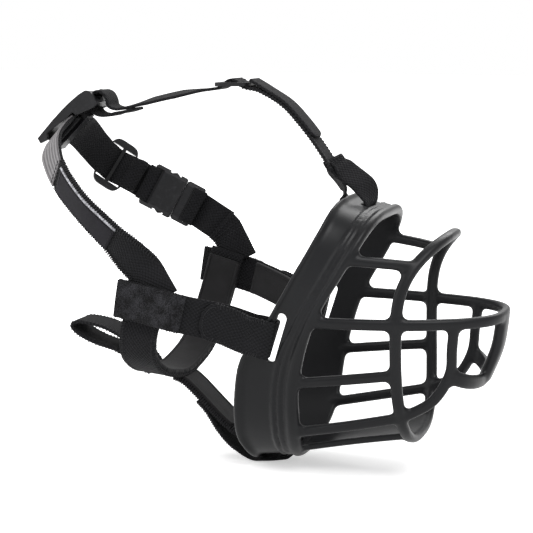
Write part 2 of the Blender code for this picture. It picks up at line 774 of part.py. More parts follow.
def right_neck_stations():
    """From the right cheek junction up behind the ear to the keeper."""
    drop = Vector((0.71, 0.0, -0.70)) * WEB_DROP
    return [
        (Vector((-62.0, -NECK_END_OUT, 14.0)), Vector((0.78, 0.0, 0.62))),
        (Vector((-66.0, -NECK_END_OUT, 20.6)), Vector((0.78, 0.0, 0.62))),
        (Vector((-71.0, -NECK_END_OUT - 0.4, 28.6)), Vector((0.77, -0.02, 0.63))),
        (Vector((-78.0, -NECK_END_OUT - 1.6, 35.4)), Vector((0.70, -0.14, 0.68))),
        (Vector((-88.0, -NECK_END_OUT - 1.4, 44.3)), Vector((0.52, -0.44, 0.68))),
        (Vector((-105.8, -CHEEK_OUT + 2.0, 59.6)), Vector((0.46, -0.54, 0.68))),
        (Vector((-122.0, -CHEEK_OUT + 10.5, 74.0)), Vector((0.52, -0.50, 0.67))),
        (Vector((-132.0, -38.0, 86.0)), Vector((0.62, -0.33, 0.69))),
        (Vector((-137.6, -22.0, 92.1)), Vector((0.68, -0.14, 0.71))),
        (KEEPER + drop + Vector((0.8, -9.0, -1.0)), Vector((0.70, 0.0, 0.71))),
        (KEEPER + drop + Vector((0.0, 2.0, 0.0)), Vector((0.70, 0.0, 0.71))),
    ]


def left_neck_stations():
    """From inside the keeper through the glide to the buckle's rear bar and round it."""
    inward = Vector((0.71, 0.0, -0.70)) * (WEB_DROP + WEB_THICK + GAP + 0.1)
    side = Vector((0.70, 0.0, 0.71))
    stations = [
        (KEEPER + inward + Vector((0.8, -9.0, -0.9)), side),
        (KEEPER + inward + Vector((0.0, 1.0, 0.0)), side),
        (KEEPER + inward + Vector((0.2, 9.0, -1.2)), side),
        (Vector((-140.3, 19.0, 90.6)), Vector((0.55, 0.22, 0.80))),
        (Vector((-140.4, 31.5, 83.0)), Vector((0.42, 0.42, 0.80))),
    ]
    stations += weave_stations(GLIDE, GLIDE.w)
    stations.append(MID_WEB)
    stations += bar_turn(BUCKLE, -FEMALE_LENGTH / 2.0 - 3.0, -1.0)
    return stations


def bar_turn(frame, bar_u, sign, run=4.0):
    """Round a webbing bar: outer side first, through the slot, back on the inner side.

    sign -1 arrives from lower u, +1 from higher u.
    """
    crest = 1.2 + GAP + 0.15 + WEB_THICK / 2.0
    far = -sign * (1.3 + GAP + 0.15 + WEB_THICK / 2.0)
    spots = [
        (bar_u + sign * run, crest), (bar_u, crest), (bar_u + far * 0.84, crest * 0.84),
        (bar_u + far, 0.0), (bar_u + far * 0.84, -crest * 0.84), (bar_u, -crest),
        (bar_u + sign * run, -crest),
    ]
    return [(frame.at(u, 0.0, n), frame.w) for u, n in spots]


def return_stations():
    """The layer that comes back from the buckle to the glide, inside the first."""
    last = bar_turn(BUCKLE, -FEMALE_LENGTH / 2.0 - 3.0, -1.0)[-1][0]
    inside = weave(GLIDE_LENGTH / 2.0) - WEB_THICK - 1.1
    return [
        (last - BUCKLE.u * 2.6 - BUCKLE.n * 1.5, BUCKLE.w),
        (MID_WEB[0] - GLIDE.n * 4.4, MID_WEB[1]),
        (GLIDE.at(GLIDE_LENGTH / 2.0 + 0.5, 0.0, inside), GLIDE.w),
        (GLIDE.at(GLIDE_LENGTH / 2.0 - 3.0, 0.0, inside), GLIDE.w),
    ]


def web_to_junction_stations():
    """From round the male half's bar to the left cheek junction."""
    bar_u = 5.0 + MALE_LENGTH - 2.2
    turn = bar_turn(BUCKLE, bar_u, 1.0)
    inner = [
        (Vector((-80.4, 60.2, 40.6)), Vector((0.33, 0.27, 0.90))),
        (Vector((-72.5, 61.9, 35.4)), Vector((0.36, 0.18, 0.91))),
    ]
    return inner, turn


def make_glide(name, frame, width, reach=0.0):
    """A three-bar slide with bowed ends and two windows for the webbing."""
    half = width / 2.0 + 0.8
    rings = []
    for n in (-GLIDE_THICK / 2.0, GLIDE_THICK / 2.0):
        ring = []
        for i in range(40):
            angle = math.tau * (i + 0.5) / 40
            c, s = math.cos(angle), math.sin(angle)
            u = (GLIDE_LENGTH / 2.0) * math.copysign(abs(c) ** 0.45, c)
            w = (half + GLIDE_SIDE) * math.copysign(abs(s) ** 0.62, s)
            ring.append(frame.at(u, w, n))
        rings.append(ring)
    body = add_object(name, loft(rings), "buckle_plastic", frame.o)
    window = GLIDE_LENGTH / 2.0 - 1.75 - GLIDE_BAR / 2.0
    tools = []
    for sign in (-1.0, 1.0):
        centre = sign * (GLIDE_BAR / 2.0 + window / 2.0)
        tools.append(box_tool(frame, (centre, 0.0, 0.0), (window, 2.0 * half, 3.0 * GLIDE_THICK)))
    boolean(body, tools, "DIFFERENCE")
    add_bevel(body, 0.45)
    return body


def box_mesh(frame, centre, size):
    rings = []
    for n in (-0.5, 0.5):
        ring = []
        for u, w in ((-0.5, -0.5), (0.5, -0.5), (0.5, 0.5), (-0.5, 0.5)):
            ring.append(
                frame.at(
                    centre[0] + u * size[0], centre[1] + w * size[1], centre[2] + n * size[2]
                )
            )
        rings.append(ring)
    return loft(rings)


def box_tool(frame, centre, size):
    return add_object("tool", box_mesh(frame, centre, size), "buckle_plastic")


def add_bevel(obj, width):
    step = obj.modifiers.new("eased_edges", "BEVEL")
    step.width = width * MM
    step.segments = 1
    step.limit_method = "ANGLE"
    step.angle_limit = math.radians(50.0)


def make_keeper():
    """The rear keeper: a plate with wedge-shaped sides, the crown strap's bar, and two
    posts and an inner bridge that hold the neck straps."""
    frame = Frame(KEEPER, KEEPER_ALONG, (0.0, -1.0, 0.0))
    under = -1.2
    top = 1.1
    floor = -(WEB_DROP + WEB_THICK * 1.5 + 2.0 * GAP + 0.35)
    post = WEB_WIDTH / 2.0 + 0.7
    rings = []
    half = KEEPER_LENGTH / 2.0
    for i in range(13):
        t = 2.0 * i / 12 - 1.0
        u = half * t + 3.0
        bow = 1.8 * t * t
        width = KEEPER_WIDTH * math.sqrt(1.0 - 0.3 * abs(t) ** 12)
        low = under + (0.0 if abs(t) < 0.99 else 0.5)
        section = []
        for w, n in ((-0.5, low), (-0.5, top - 1.2), (-0.32, top), (0.32, top), (0.5, top - 1.2), (0.5, low)):
            section.append(frame.at(u, w * width, n - bow if n > low else n - bow * 0.9))
        rings.append(section)
    keeper = add_object("neck_keeper", loft(rings), "buckle_plastic", KEEPER)
    tools = []
    for sign in (-1.0, 1.0):
        depth = under + 0.6 - (floor - 1.8)
        centre = (sign * (post + 1.2), 0.0, under + 0.6 - depth / 2.0)
        tools.append(box_tool(frame, centre, (2.4, 9.0, depth)))
    bridge = 2.0 * (post + 2.3)
    tools.append(box_tool(frame, (0.0, 0.0, floor - 0.95), (bridge, 8.4, 1.9)))
    bar_u, bar_n = CROWN_BAR
    tools.append(box_tool(frame, (bar_u - 0.6, 0.0, bar_n + 0.3), (4.2, KEEPER_WIDTH - 1.0, 4.2)))
    clear = -(WEB_DROP - WEB_THICK / 2.0 - GAP)
    edge = WEB_WIDTH / 2.0 + 0.9
    outline = [(-15.5, -3.7), (-14.8, -0.5), (0.0, 0.0), (half + 1.5, -1.4), (bar_u + 0.6, -2.6),
               (bar_u + 2.5, -5.1), (bar_u + 2.1, -7.9), (bar_u + 0.8, -12.8), (bar_u - 2.6, -12.4),
               (edge, -7.9), (edge, clear), (6.3, clear), (-9.0, -2.4), (-edge, -5.4)]
    inner = CROWN_WIDTH / 2.0 + 1.1
    for sign in (-1.0, 1.0):
        faces = [
            [frame.at(u, sign * w, n) for u, n in outline]
            for w in (inner, KEEPER_WIDTH / 2.0)
        ]
        tools.append(add_object("tool", loft(faces), "buckle_plastic"))
    boolean(keeper, tools, "UNION")
    add_bevel(keeper, 0.35)
    return keeper


def make_buckle():
    """Side-release buckle: a female shell, a male base and its two sprung prongs."""
    half = FEMALE_LENGTH / 2.0
    width, thick = BUCKLE_WIDTH, BUCKLE_THICK
    bar_u = -half - 3.0
    shell = add_object("buckle_female", buckle_outline(BUCKLE, -half - 4.3, half - 6.0, width, thick),
                       "buckle_plastic", BUCKLE.o)
    slot_from = bar_u + 1.3
    slot_len = WEB_THICK + 2.0 * GAP + 1.1
    cavity = half - 6.0 - (slot_from + slot_len + 2.0)
    start = slot_from + slot_len + 2.0
    tools = [
        box_tool(BUCKLE, (slot_from + slot_len / 2.0, 0.0, 0.0), (slot_len, WEB_WIDTH + 1.6, 20.0)),
        box_tool(BUCKLE, (start + cavity / 2.0 + 2.0, 0.0, 0.0), (cavity + 4.0, width - 5.2, thick - 3.0)),
        box_tool(BUCKLE, (start + 4.6, 0.0, 0.0), (7.0, width + 6.0, thick - 2.6)),
    ]
    for sign in (-1.0, 1.0):
        centre = (bar_u - 0.4, 0.0, sign * 3.2)
        tools.append(box_tool(BUCKLE, centre, (4.4, WEB_WIDTH + 1.6, 4.0)))
    boolean(shell, tools, "DIFFERENCE")

    root = half - 6.0 + GAP
    end = root + MALE_LENGTH
    male = add_object("buckle_male", buckle_outline(BUCKLE, root, end, width - 1.0, thick - 1.0),
                      "buckle_plastic", BUCKLE.at(root, 0.0, 0.0))
    tongue = box_tool(BUCKLE, (root - 4.0, 0.0, 0.0), (9.0, 3.2, thick - 4.0))
    boolean(male, [tongue], "UNION")
    male_bar = end - 2.2
    slot_mid = male_bar - 1.3 - slot_len / 2.0
    cuts = [box_tool(BUCKLE, (slot_mid, 0.0, 0.0), (slot_len, WEB_WIDTH + 1.6, 20.0))]
    for sign in (-1.0, 1.0):
        centre = (male_bar + 0.6, 0.0, sign * 3.2)
        cuts.append(box_tool(BUCKLE, centre, (5.4, WEB_WIDTH + 1.6, 4.0)))
    boolean(male, cuts, "DIFFERENCE")

    for sign, name in ((1.0, "upper"), (-1.0, "lower")):
        make_prong(f"buckle_prong_{name}", root, sign, start)


def buckle_outline(frame, low, high, width, thick):
    """A flat body with rounded sides, from low to high along the buckle."""
    rings = []
    ease = 1.1
    hw, ht = width / 2.0, thick / 2.0
    outline = (
        (-hw, -ht + 2.2), (-hw, ht - 2.2), (-hw + ease * 2.4, ht), (hw - ease * 2.4, ht),
        (hw, ht - 2.2), (hw, -ht + 2.2), (hw - ease * 2.4, -ht), (-hw + ease * 2.4, -ht),
    )
    for u, shrink in ((low, 0.92), (low + 1.0, 1.0), (high - 1.0, 1.0), (high, 0.94)):
        rings.append([frame.at(u, w * shrink, n * shrink) for w, n in outline])
    return loft(rings)


def make_prong(name, root, sign, cavity_start):
    """One prong: a thin arm with a thumb pad that fills the shell's side window."""
    tip = cavity_start + 1.8
    inner_wall = BUCKLE_WIDTH / 2.0 - 2.6
    arm_top, arm_low = inner_wall - 0.5, inner_wall - 2.6
    pad_top = BUCKLE_WIDTH / 2.0 + 0.3
    profile = (
        (root - GAP, arm_low), (root - GAP, arm_top), (cavity_start + 7.8, arm_top),
        (cavity_start + 7.0, pad_top - 1.0), (cavity_start + 5.0, pad_top),
        (cavity_start + 2.6, pad_top - 1.2), (tip, arm_top), (tip, arm_low),
    )
    deep = (BUCKLE_THICK - 4.2) / 2.0
    rings = []
    for n in (-deep, deep):
        rings.append([BUCKLE.at(u, sign * w, n) for u, w in profile])
    hinge = BUCKLE.at(root - GAP, sign * (arm_low + arm_top) / 2.0, 0.0)
    return add_object(name, loft(rings), "buckle_plastic", hinge)


def make_neck():
    right = right_neck_stations()
    on_top = WEB_THICK / 2.0 + GAP + PATCH_THICK / 2.0
    ribbon("neck_strap_right", "webbing", right, WEB_WIDTH, WEB_THICK)
    ribbon("label_patch", "patch", right, WEB_WIDTH - 4.6, PATCH_THICK,
           lift=on_top, aside=-1.6, span=(0.27, 0.58))
    ribbon("reflective_piping", "reflective_cord", right, 1.8, PATCH_THICK,
           lift=on_top, aside=WEB_WIDTH / 2.0 - 2.6, span=(0.27, 0.58))
    ribbon("reflective_webbing", "reflective_web", right, WEB_WIDTH - 0.6, PATCH_THICK,
           lift=on_top, span=(0.61, 0.92))
    ribbon("neck_strap_left", "webbing", left_neck_stations(), WEB_WIDTH, WEB_THICK, step=1.6)
    ribbon("neck_strap_return", "webbing", return_stations(), WEB_WIDTH - 1.4, WEB_THICK)
    make_glide("neck_glide", GLIDE, WEB_WIDTH)
    make_keeper()
    make_buckle()
    inner, turn = web_to_junction_stations()
    stations = list(reversed(inner)) + turn
    ribbon("buckle_web", "webbing", stations, WEB_WIDTH, WEB_THICK, step=1.8)
    ribbon("junction_fold", "webbing", fold_stations(), WEB_WIDTH, WEB_THICK)


def fold_stations():
    """The turned-down webbing that joins the buckle web to the left cheek junction."""
    under = WEB_THICK + GAP
    return [
        (Vector((-74.5, 60.3 - under, 37.3)), Vector((0.35, 0.20, 0.91))),
        (Vector((-70.6, 60.8 - under, 33.6)), Vector((0.50, 0.10, 0.86))),
        (Vector((-66.2, NECK_END_OUT, 26.6)), Vector((0.80, 0.0, 0.60))),
        (Vector((-61.0, NECK_END_OUT, 17.0)), Vector((0.88, 0.0, 0.48))),
    ]


# ---------------------------------------------------------------- crown straps
CROWN_END = Vector((12.4, 0.0, 77.2))
CROWN_DOWN = Vector((0.59, 0.0, -0.81)).normalized()
CROWN_GLIDE = Frame((-43.0, 0.0, 121.0), (1.0, 0.0, 0.02), (0.0, -1.0, 0.0))


def crown_stations():
    """From the keeper's bar over the crown, through the glide, to the crown loop."""
    frame = Frame(KEEPER, KEEPER_ALONG, (0.0, -1.0, 0.0))
    side = Vector((0.0, -1.0, 0.0))
    bar_u, bar_n = CROWN_BAR
    wrap = [
        (3.6, -12.4), (0.1, -10.3), (-3.4, -7.4), (-5.6, -3.8), (-5.4, 0.2), (-3.4, 3.6),
        (0.2, 4.9), (4.0, 3.7), (5.6, 0.2), (4.6, -3.6), (3.0, -6.4), (4.4, -9.9),
    ]
    stations = [(frame.at(bar_u + u, 0.0, bar_n + n), side) for u, n in wrap]
    tilted_side = Vector((0.0, -0.98, -0.19))
    stations += [
        (Vector((-106.0, 0.0, 107.2)), side),
        (Vector((-92.0, 0.0, 111.2)), tilted_side),
        (Vector((-75.0, 0.0, 115.0)), tilted_side),
        (Vector((-60.0, 0.0, 117.4)), side),
    ]
    stations += weave_stations(CROWN_GLIDE, side)
    stations += [
        (Vector((-27.0, 0.0, 117.4)), side),
        (Vector((-15.0, 0.0, 110.6)), side),
        (Vector((-6.0, 0.0, 101.6)), side),
        (Vector((3.0, 0.0, 90.6)), side),
        (CROWN_END - CROWN_DOWN * 4.0, side),
        (CROWN_END, side),
    ]
    return stations


def tail_stations():
    """The free tail that lies over the front run of the crown strap."""
    side = Vector((0.0, -1.0, 0.0))
    lift = WEB_THICK + GAP + 0.1
    places = [(-33.0, 121.3, 0.1, 1.0), (-26.0, 117.2, 0.5, 0.87), (-15.0, 110.6, 0.68, 0.73),
              (-6.0, 101.6, 0.76, 0.65), (1.2, 92.8, 0.79, 0.61)]
    return [(Vector((x + lift * a, 0.0, z + lift * b)), side) for x, z, a, b in places]


def crown_loop_stations():
    """A folded loop round the band's rear edge and through its top slot."""
    side = Vector((0.0, -1.0, 0.0))
    fore = Vector((math.cos(BAND_TILT), 0.0, -math.sin(BAND_TILT)))
    up = Vector((math.sin(BAND_TILT), 0.0, math.cos(BAND_TILT)))
    slot = wall_middle(True, TOP_SLOT_AT)
    rear = wall_middle(True, 0.0)
    clear = WEB_THICK / 2.0 + GAP + 0.3
    inside = BAND_WALL / 2.0 + clear
    face = Vector((-CROWN_DOWN.z, 0.0, CROWN_DOWN.x)) * (WEB_THICK + GAP + 0.1)
    places = [
        CROWN_END - CROWN_DOWN * 4.0 - face,
        CROWN_END - CROWN_DOWN * 0.5 - face,
        rear - fore * (clear + 2.6) + up * 5.2,
        rear - fore * (clear + 0.6) + up * 0.4,
        rear - fore * (clear - 0.6) - up * (inside - 0.4),
        rear + fore * 3.5 - up * (inside + 0.4),
        slot - fore * 4.0 - up * inside,
        slot - fore * 0.3 - up * (inside - 1.0),
        slot + fore * 0.8 + up * 0.6,
        slot + fore * 0.2 + up * 4.6,
        slot - fore * 5.4 + up * 10.2,
        CROWN_END + CROWN_DOWN * 2.2 + face * 1.9,
        CROWN_END - CROWN_DOWN * 2.4 + face,
        CROWN_END - CROWN_DOWN * 6.2 + face,
    ]
    return [(place, side) for place in places]


def make_crown():
    ribbon("crown_strap", "webbing", crown_stations(), CROWN_WIDTH, WEB_THICK, step=1.8)
    ribbon("crown_tail", "webbing", tail_stations(), CROWN_WIDTH, WEB_THICK)
    make_glide("crown_glide", CROWN_GLIDE, CROWN_WIDTH)
    ribbon("crown_loop", "webbing", crown_loop_stations(), CROWN_WIDTH, WEB_THICK, step=1.8)


def main():
    clear_scene()
    make_basket()
    make_cheeks()
    make_lower_straps()
    make_neck()
    make_crown()


main()
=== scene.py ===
"""Looks for the basket muzzle: moulded rubber basket, woven webbing, padding and buckles."""

import json
import math
import random

import bmesh
import bpy
import numpy as np
from mathutils import Matrix, Vector

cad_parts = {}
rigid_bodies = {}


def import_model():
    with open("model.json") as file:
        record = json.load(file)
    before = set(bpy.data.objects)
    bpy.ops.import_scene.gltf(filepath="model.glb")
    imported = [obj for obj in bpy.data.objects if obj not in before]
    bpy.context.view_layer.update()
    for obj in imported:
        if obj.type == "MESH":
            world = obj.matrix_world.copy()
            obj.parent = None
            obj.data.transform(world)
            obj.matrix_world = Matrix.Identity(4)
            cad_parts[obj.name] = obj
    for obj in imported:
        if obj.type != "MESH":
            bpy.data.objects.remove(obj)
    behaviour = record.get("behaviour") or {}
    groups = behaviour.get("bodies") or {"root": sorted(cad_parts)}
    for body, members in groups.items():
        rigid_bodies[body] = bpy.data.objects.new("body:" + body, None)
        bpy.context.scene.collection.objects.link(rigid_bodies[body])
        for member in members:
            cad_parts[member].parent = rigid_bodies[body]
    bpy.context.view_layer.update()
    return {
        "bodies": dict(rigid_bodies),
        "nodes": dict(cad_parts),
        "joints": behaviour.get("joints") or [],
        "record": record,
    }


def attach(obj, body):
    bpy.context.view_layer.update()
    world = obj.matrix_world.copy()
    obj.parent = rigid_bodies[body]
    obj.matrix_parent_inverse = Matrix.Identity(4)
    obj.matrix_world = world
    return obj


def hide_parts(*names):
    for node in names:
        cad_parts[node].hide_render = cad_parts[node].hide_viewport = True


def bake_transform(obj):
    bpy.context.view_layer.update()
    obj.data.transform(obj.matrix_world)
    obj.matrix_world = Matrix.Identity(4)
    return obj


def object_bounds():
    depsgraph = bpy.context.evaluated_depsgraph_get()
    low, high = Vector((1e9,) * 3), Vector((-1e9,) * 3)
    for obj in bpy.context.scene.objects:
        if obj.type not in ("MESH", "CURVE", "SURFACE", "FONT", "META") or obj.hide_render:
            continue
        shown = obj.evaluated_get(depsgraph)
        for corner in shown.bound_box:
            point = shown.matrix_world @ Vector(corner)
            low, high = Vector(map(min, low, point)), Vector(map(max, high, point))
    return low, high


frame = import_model()
MM = 0.001
GAP = 0.3

# ---------------------------------------------------------------- sizes, in millimetres
BAND_TILT = math.radians(17.0)
BAND_HALF_WIDTH = 47.0
BAND_TOP = 66.0
BAND_FRONT_BOTTOM = 70.5
BAND_REAR_BOTTOM = 82.5
BAND_WIDEST_AT = 10.0
BAND_LENGTH = 26.5
BAND_WALL = 3.0
REAR_EDGE = ((67.0, 0.0), (50.0, -0.5), (17.0, -7.0), (-5.0, -12.0), (-23.0, -18.5),
             (-45.0, -17.0), (-68.0, -12.5), (-83.0, -4.0))
FRONT_EDGE = ((67.0, 24.5), (44.0, 21.0), (8.0, 13.5), (-25.0, 14.5), (-54.0, 20.5),
              (-70.5, 21.5))
LIP = 1.3
HOOP_TOP = 46.0
HOOP_BOTTOM = 60.0
HOOP_HALF_WIDTH = 40.5
HOOP_X = 55.5
HOOP_LEAN_TOP = 19.0
HOOP_LEAN_BOTTOM = 3.5
BAR_WIDTH = 5.6
BAR_DEPTH = 4.6
NOSE_TIP = 102.2
NOSE_RING_Z = 4.8
NOSE_RING_RISE = 1.3
LIP_BAR_DROP = 25.8
LIP_BAR_SAG = 6.6
LIP_BAR_REACH = 12.4
LIP_BAR_HALF_WIDTH = 28.2
LIP_BAR_WIDTH = 8.0
FRONT_BAR_WIDTH = 15.0
FRONT_BAR_DEPTH = 6.4
CHIN_PLATE_WIDTH = 40.0
CHIN_PLATE_DEPTH = 3.6
SIDE_BARS = ((44.5, 33.5), (-25.0, -20.5), (-54.0, -43.5))
NOSE_BAR_AT_BAND = 8.0
WEB_WIDTH = 20.0
WEB_THICK = 1.5
CROWN_WIDTH = 15.0
LINING_THICK = 1.8
PATCH_THICK = 0.8
SLOT_PLAY = 0.9
SIDE_SLOT_EXTRA = 5.0
SLOT_CLEAR = 3.6
SIDE_SLOT_H = -5.6
SIDE_SLOT_AT = 0.35
TOP_SLOT_AT = 0.46
TOP_SLOT_WIDTH = 2.0 * WEB_THICK + 2.2
BOTTOM_SLOT_AT = 0.66
BOTTOM_SLOT_WIDTH = WEB_THICK + 3.0
CHEEK_OUT = 60.0
NECK_END_OUT = CHEEK_OUT - WEB_THICK - GAP - 0.05
THROAT_OUT = NECK_END_OUT - WEB_THICK - GAP
GLIDE_LENGTH = 19.0
GLIDE_THICK = 2.0
FEMALE_LENGTH = 22.0
MALE_LENGTH = 11.5
WEB_DROP = 6.4
GLIDE_REACH = GLIDE_LENGTH / 2.0 - 0.75
FEMALE_BAR = -FEMALE_LENGTH / 2.0 - 3.0
MALE_BAR = 5.0 + MALE_LENGTH - 2.2
FILLET = 1.6
UP = Vector((math.sin(BAND_TILT), 0.0, math.cos(BAND_TILT)))
FORE = Vector((math.cos(BAND_TILT), 0.0, -math.sin(BAND_TILT)))
LEFTWARD = Vector((0.0, 1.0, 0.0))
LEAN = (0.29, 0.0, 0.96)
FLAT = (0.20, 0.0, 0.98)
SIDE = (0.0, -1.0, 0.0)


# ---------------------------------------------------------------- frames and paths
class Frame:
    """A local frame: u along the webbing, w across it, n outward from the head."""

    def __init__(self, origin, along, across):
        self.o = Vector(origin)
        self.u = Vector(along).normalized()
        raw = Vector(across)
        self.w = (raw - self.u * raw.dot(self.u)).normalized()
        self.n = self.w.cross(self.u).normalized()

    def at(self, u, w, n):
        return self.o + self.u * u + self.w * w + self.n * n


def catmull(p0, p1, p2, p3, t):
    return 0.5 * (
        2.0 * p1
        + (p2 - p0) * t
        + (2.0 * p0 - 5.0 * p1 + 4.0 * p2 - p3) * t * t
        + (3.0 * p1 - p0 - 3.0 * p2 + p3) * t * t * t
    )


def distances(places):
    """How far along a run of places each one lies."""
    places = list(places)
    lengths = [0.0]
    for one, two in zip(places, places[1:]):
        lengths.append(lengths[-1] + (two - one).length)
    return lengths


def smooth_path(stations, step):
    """Points every step along a smooth curve through (place, across) stations."""
    spots = [Vector(place) for place, _ in stations]
    sides = [Vector(across).normalized() for _, across in stations]
    fine = []
    for i in range(len(spots) - 1):
        a, b, c, d = (max(0, i - 1), i, i + 1, min(len(spots) - 1, i + 2))
        for k in range(12):
            t = k / 12.0
            spot = catmull(spots[a], spots[b], spots[c], spots[d], t)
            fine.append((spot, sides[b].lerp(sides[c], t)))
    fine.append((spots[-1], sides[-1]))
    lengths = distances(spot for spot, _ in fine)
    count = max(2, round(lengths[-1] / step))
    path = []
    k = 0
    for i in range(count + 1):
        want = lengths[-1] * i / count
        while k < len(fine) - 2 and lengths[k + 1] < want:
            k += 1
        span = lengths[k + 1] - lengths[k]
        t = (want - lengths[k]) / span if span > 1e-9 else 0.0
        path.append((fine[k][0].lerp(fine[k + 1][0], t), fine[k][1].lerp(fine[k + 1][1], t)))
    return path


def frames_along(path):
    frames = []
    for i, (spot, across) in enumerate(path):
        before = path[max(0, i - 1)][0]
        after = path[min(len(path) - 1, i + 1)][0]
        frames.append(Frame(spot, after - before, across))
    return frames


def edge_place(edge, h):
    """The band edge's place at height h, smooth through its (height, place) pairs."""
    last = len(edge) - 1
    k = 0
    while k < last - 1 and h < edge[k + 1][0]:
        k += 1
    values = [edge[i][1] for i in (max(0, k - 1), k, k + 1, min(last, k + 2))]
    t = (edge[k][0] - h) / (edge[k][0] - edge[k + 1][0])
    return catmull(*values, min(1.0, max(0.0, t)))


def tilted(a, y, h):
    """a runs along the band towards the nose, h up its leaning plane."""
    x = a * math.cos(BAND_TILT) + h * math.sin(BAND_TILT)
    z = h * math.cos(BAND_TILT) - a * math.sin(BAND_TILT)
    return Vector((x, y, z))


def band_edges(part):
    """Rear and front edge places of the wall at one fraction of the way round."""
    rear, rear_normal = part[0]
    front, front_normal = part[1]
    a_rear = edge_place(REAR_EDGE, rear.y)
    a_front = edge_place(FRONT_EDGE, front.y)
    return (a_rear, rear, rear_normal), (a_front, front, front_normal)


def band_point(part, t, out):
    """A point t of the way from the rear edge to the front one, out from the wall."""
    one, two = band_edges(part)
    a = one[0] + (two[0] - one[0]) * t
    spot = one[1].lerp(two[1], t)
    normal = one[2].lerp(two[2], t).normalized()
    return tilted(a, spot.x + normal.x * out, spot.y + normal.y * out)


def band_parts(count):
    rear = oval(count, BAND_TOP, BAND_REAR_BOTTOM)
    front = oval(count, BAND_TOP, BAND_FRONT_BOTTOM)
    return list(zip(rear, front))


def band_at(h, t=1.0):
    """The right-hand part whose point at t lies nearest to height h on the band."""
    right = [part for part in band_parts(360) if part[0][0].x > 0.0]
    return min(right, key=lambda part: abs(part[0][0].lerp(part[1][0], t).y - h))


def wall_middle(top, t):
    """The middle of the wall's thickness at its top or its bottom, in the middle plane."""
    pick = max if top else min
    part = pick(band_parts(360), key=lambda one: one[0][0].y)
    spot = band_point(part, t, -BAND_WALL / 2.0)
    return Vector((spot.x, 0.0, spot.z))


def squarish(angle, half_width, up, down, power_up, power_down, centre):
    c, s = math.cos(angle), math.sin(angle)
    power = power_up if s >= 0.0 else power_down
    reach = up if s >= 0.0 else down
    y = half_width * math.copysign(abs(c) ** (2.0 / power), c)
    h = centre + reach * math.copysign(abs(s) ** (2.0 / power), s)
    return Vector((y, h))


def spaced_ring(fine, count):
    """Evenly spaced (place, outward normal) stations round a closed outline."""
    lengths = distances([*fine, fine[0]])
    spots = []
    k = 0
    for i in range(count):
        want = lengths[-1] * i / count
        while lengths[k + 1] < want:
            k += 1
        t = (want - lengths[k]) / max(1e-9, lengths[k + 1] - lengths[k])
        spots.append(fine[k].lerp(fine[(k + 1) % len(fine)], t))
    stations = []
    for i in range(count):
        run = spots[(i + 1) % count] - spots[i - 1]
        stations.append((spots[i], Vector((run.y, -run.x)).normalized()))
    return stations


def oval(count, top, bottom):
    """The band's outline, square at the top and narrower at the bottom."""
    up, down = top - BAND_WIDEST_AT, bottom + BAND_WIDEST_AT
    fine = [
        squarish(math.tau * i / 720, BAND_HALF_WIDTH, up, down, 3.4, 2.5, BAND_WIDEST_AT)
        for i in range(720)
    ]
    return spaced_ring(fine, count)


def hoop_x(z):
    if z >= 0.0:
        return HOOP_X + HOOP_LEAN_TOP * (z / HOOP_TOP) ** 3
    return HOOP_X + HOOP_LEAN_BOTTOM * (z / HOOP_BOTTOM) ** 2


def hoop_half_width_at(z):
    centre = (HOOP_TOP - HOOP_BOTTOM) / 2.0
    t = min(0.999, abs(z - centre) / ((HOOP_TOP + HOOP_BOTTOM) / 2.0))
    return HOOP_HALF_WIDTH * (1.0 - t**2.75) ** (1.0 / 2.75)


def band_front(h):
    """Middle of the front ring on the left side, at height h up the band."""
    return band_point(band_at(h), 1.0 - 2.5 / BAND_LENGTH, -BAND_WALL / 2.0 + 0.6)


def nose_half_width_at(x):
    start = band_front(NOSE_BAR_AT_BAND)
    t = min(1.0, max(0.0, (x - start.x) / (NOSE_TIP - start.x)))
    return start.y * max(0.0, 1.0 - t**1.7) ** 0.36


def nose_ring_z(x):
    t = min(1.0, max(0.0, (x - 13.0) / (NOSE_TIP - 13.0)))
    return NOSE_RING_Z + NOSE_RING_RISE * t * t


def put(point, mirror):
    return Vector((point.x, -point.y, point.z)) if mirror else point


def nose_stations():
    """From the right side of the band round the nose to the left side."""
    start = band_front(NOSE_BAR_AT_BAND)
    half = start.y
    right = []
    for i in range(13):
        angle = math.radians(90.0) * i / 12
        x = start.x + (NOSE_TIP - start.x) * math.sin(angle) ** 1.18
        y = half * max(0.0, math.cos(angle)) ** 0.72
        outward = Vector((math.sin(angle) ** 3, -max(0.02, math.cos(angle)), 0.0))
        right.append((Vector((x, -y, nose_ring_z(x))), outward))
    left = [(put(p, True), put(n, True)) for p, n in right[-2::-1]]
    return right + left


def lip_bar_start():
    x = HOOP_X + 25.0
    return Vector((x, LIP_BAR_HALF_WIDTH, NOSE_RING_Z - LIP_BAR_DROP))


def lip_stations():
    """The lower lip bar: a shallow U in front of the chin."""
    low = lip_bar_start()
    points = []
    for i in range(13):
        angle = math.pi * i / 12
        reach = math.sin(angle)
        place = Vector((low.x + LIP_BAR_REACH * reach, -low.y * math.cos(angle), low.z - LIP_BAR_SAG * reach))
        outward = Vector((max(0.05, reach), -math.cos(angle), -0.35 * reach))
        points.append((place, outward))
    return points


def bottom_slot():
    """The bottom slot's middle and the wall's direction there, towards the nose."""
    rear, front = wall_middle(False, 0.0), wall_middle(False, 1.0)
    return wall_middle(False, BOTTOM_SLOT_AT), (front - rear).normalized()


def side_slot_centre():
    """The slot's middle: the webbing fills its lower part."""
    return band_point(band_at(SIDE_SLOT_H, SIDE_SLOT_AT), SIDE_SLOT_AT, -BAND_WALL / 2.0)


def side_slot_width():
    return WEB_THICK + GAP + SLOT_CLEAR


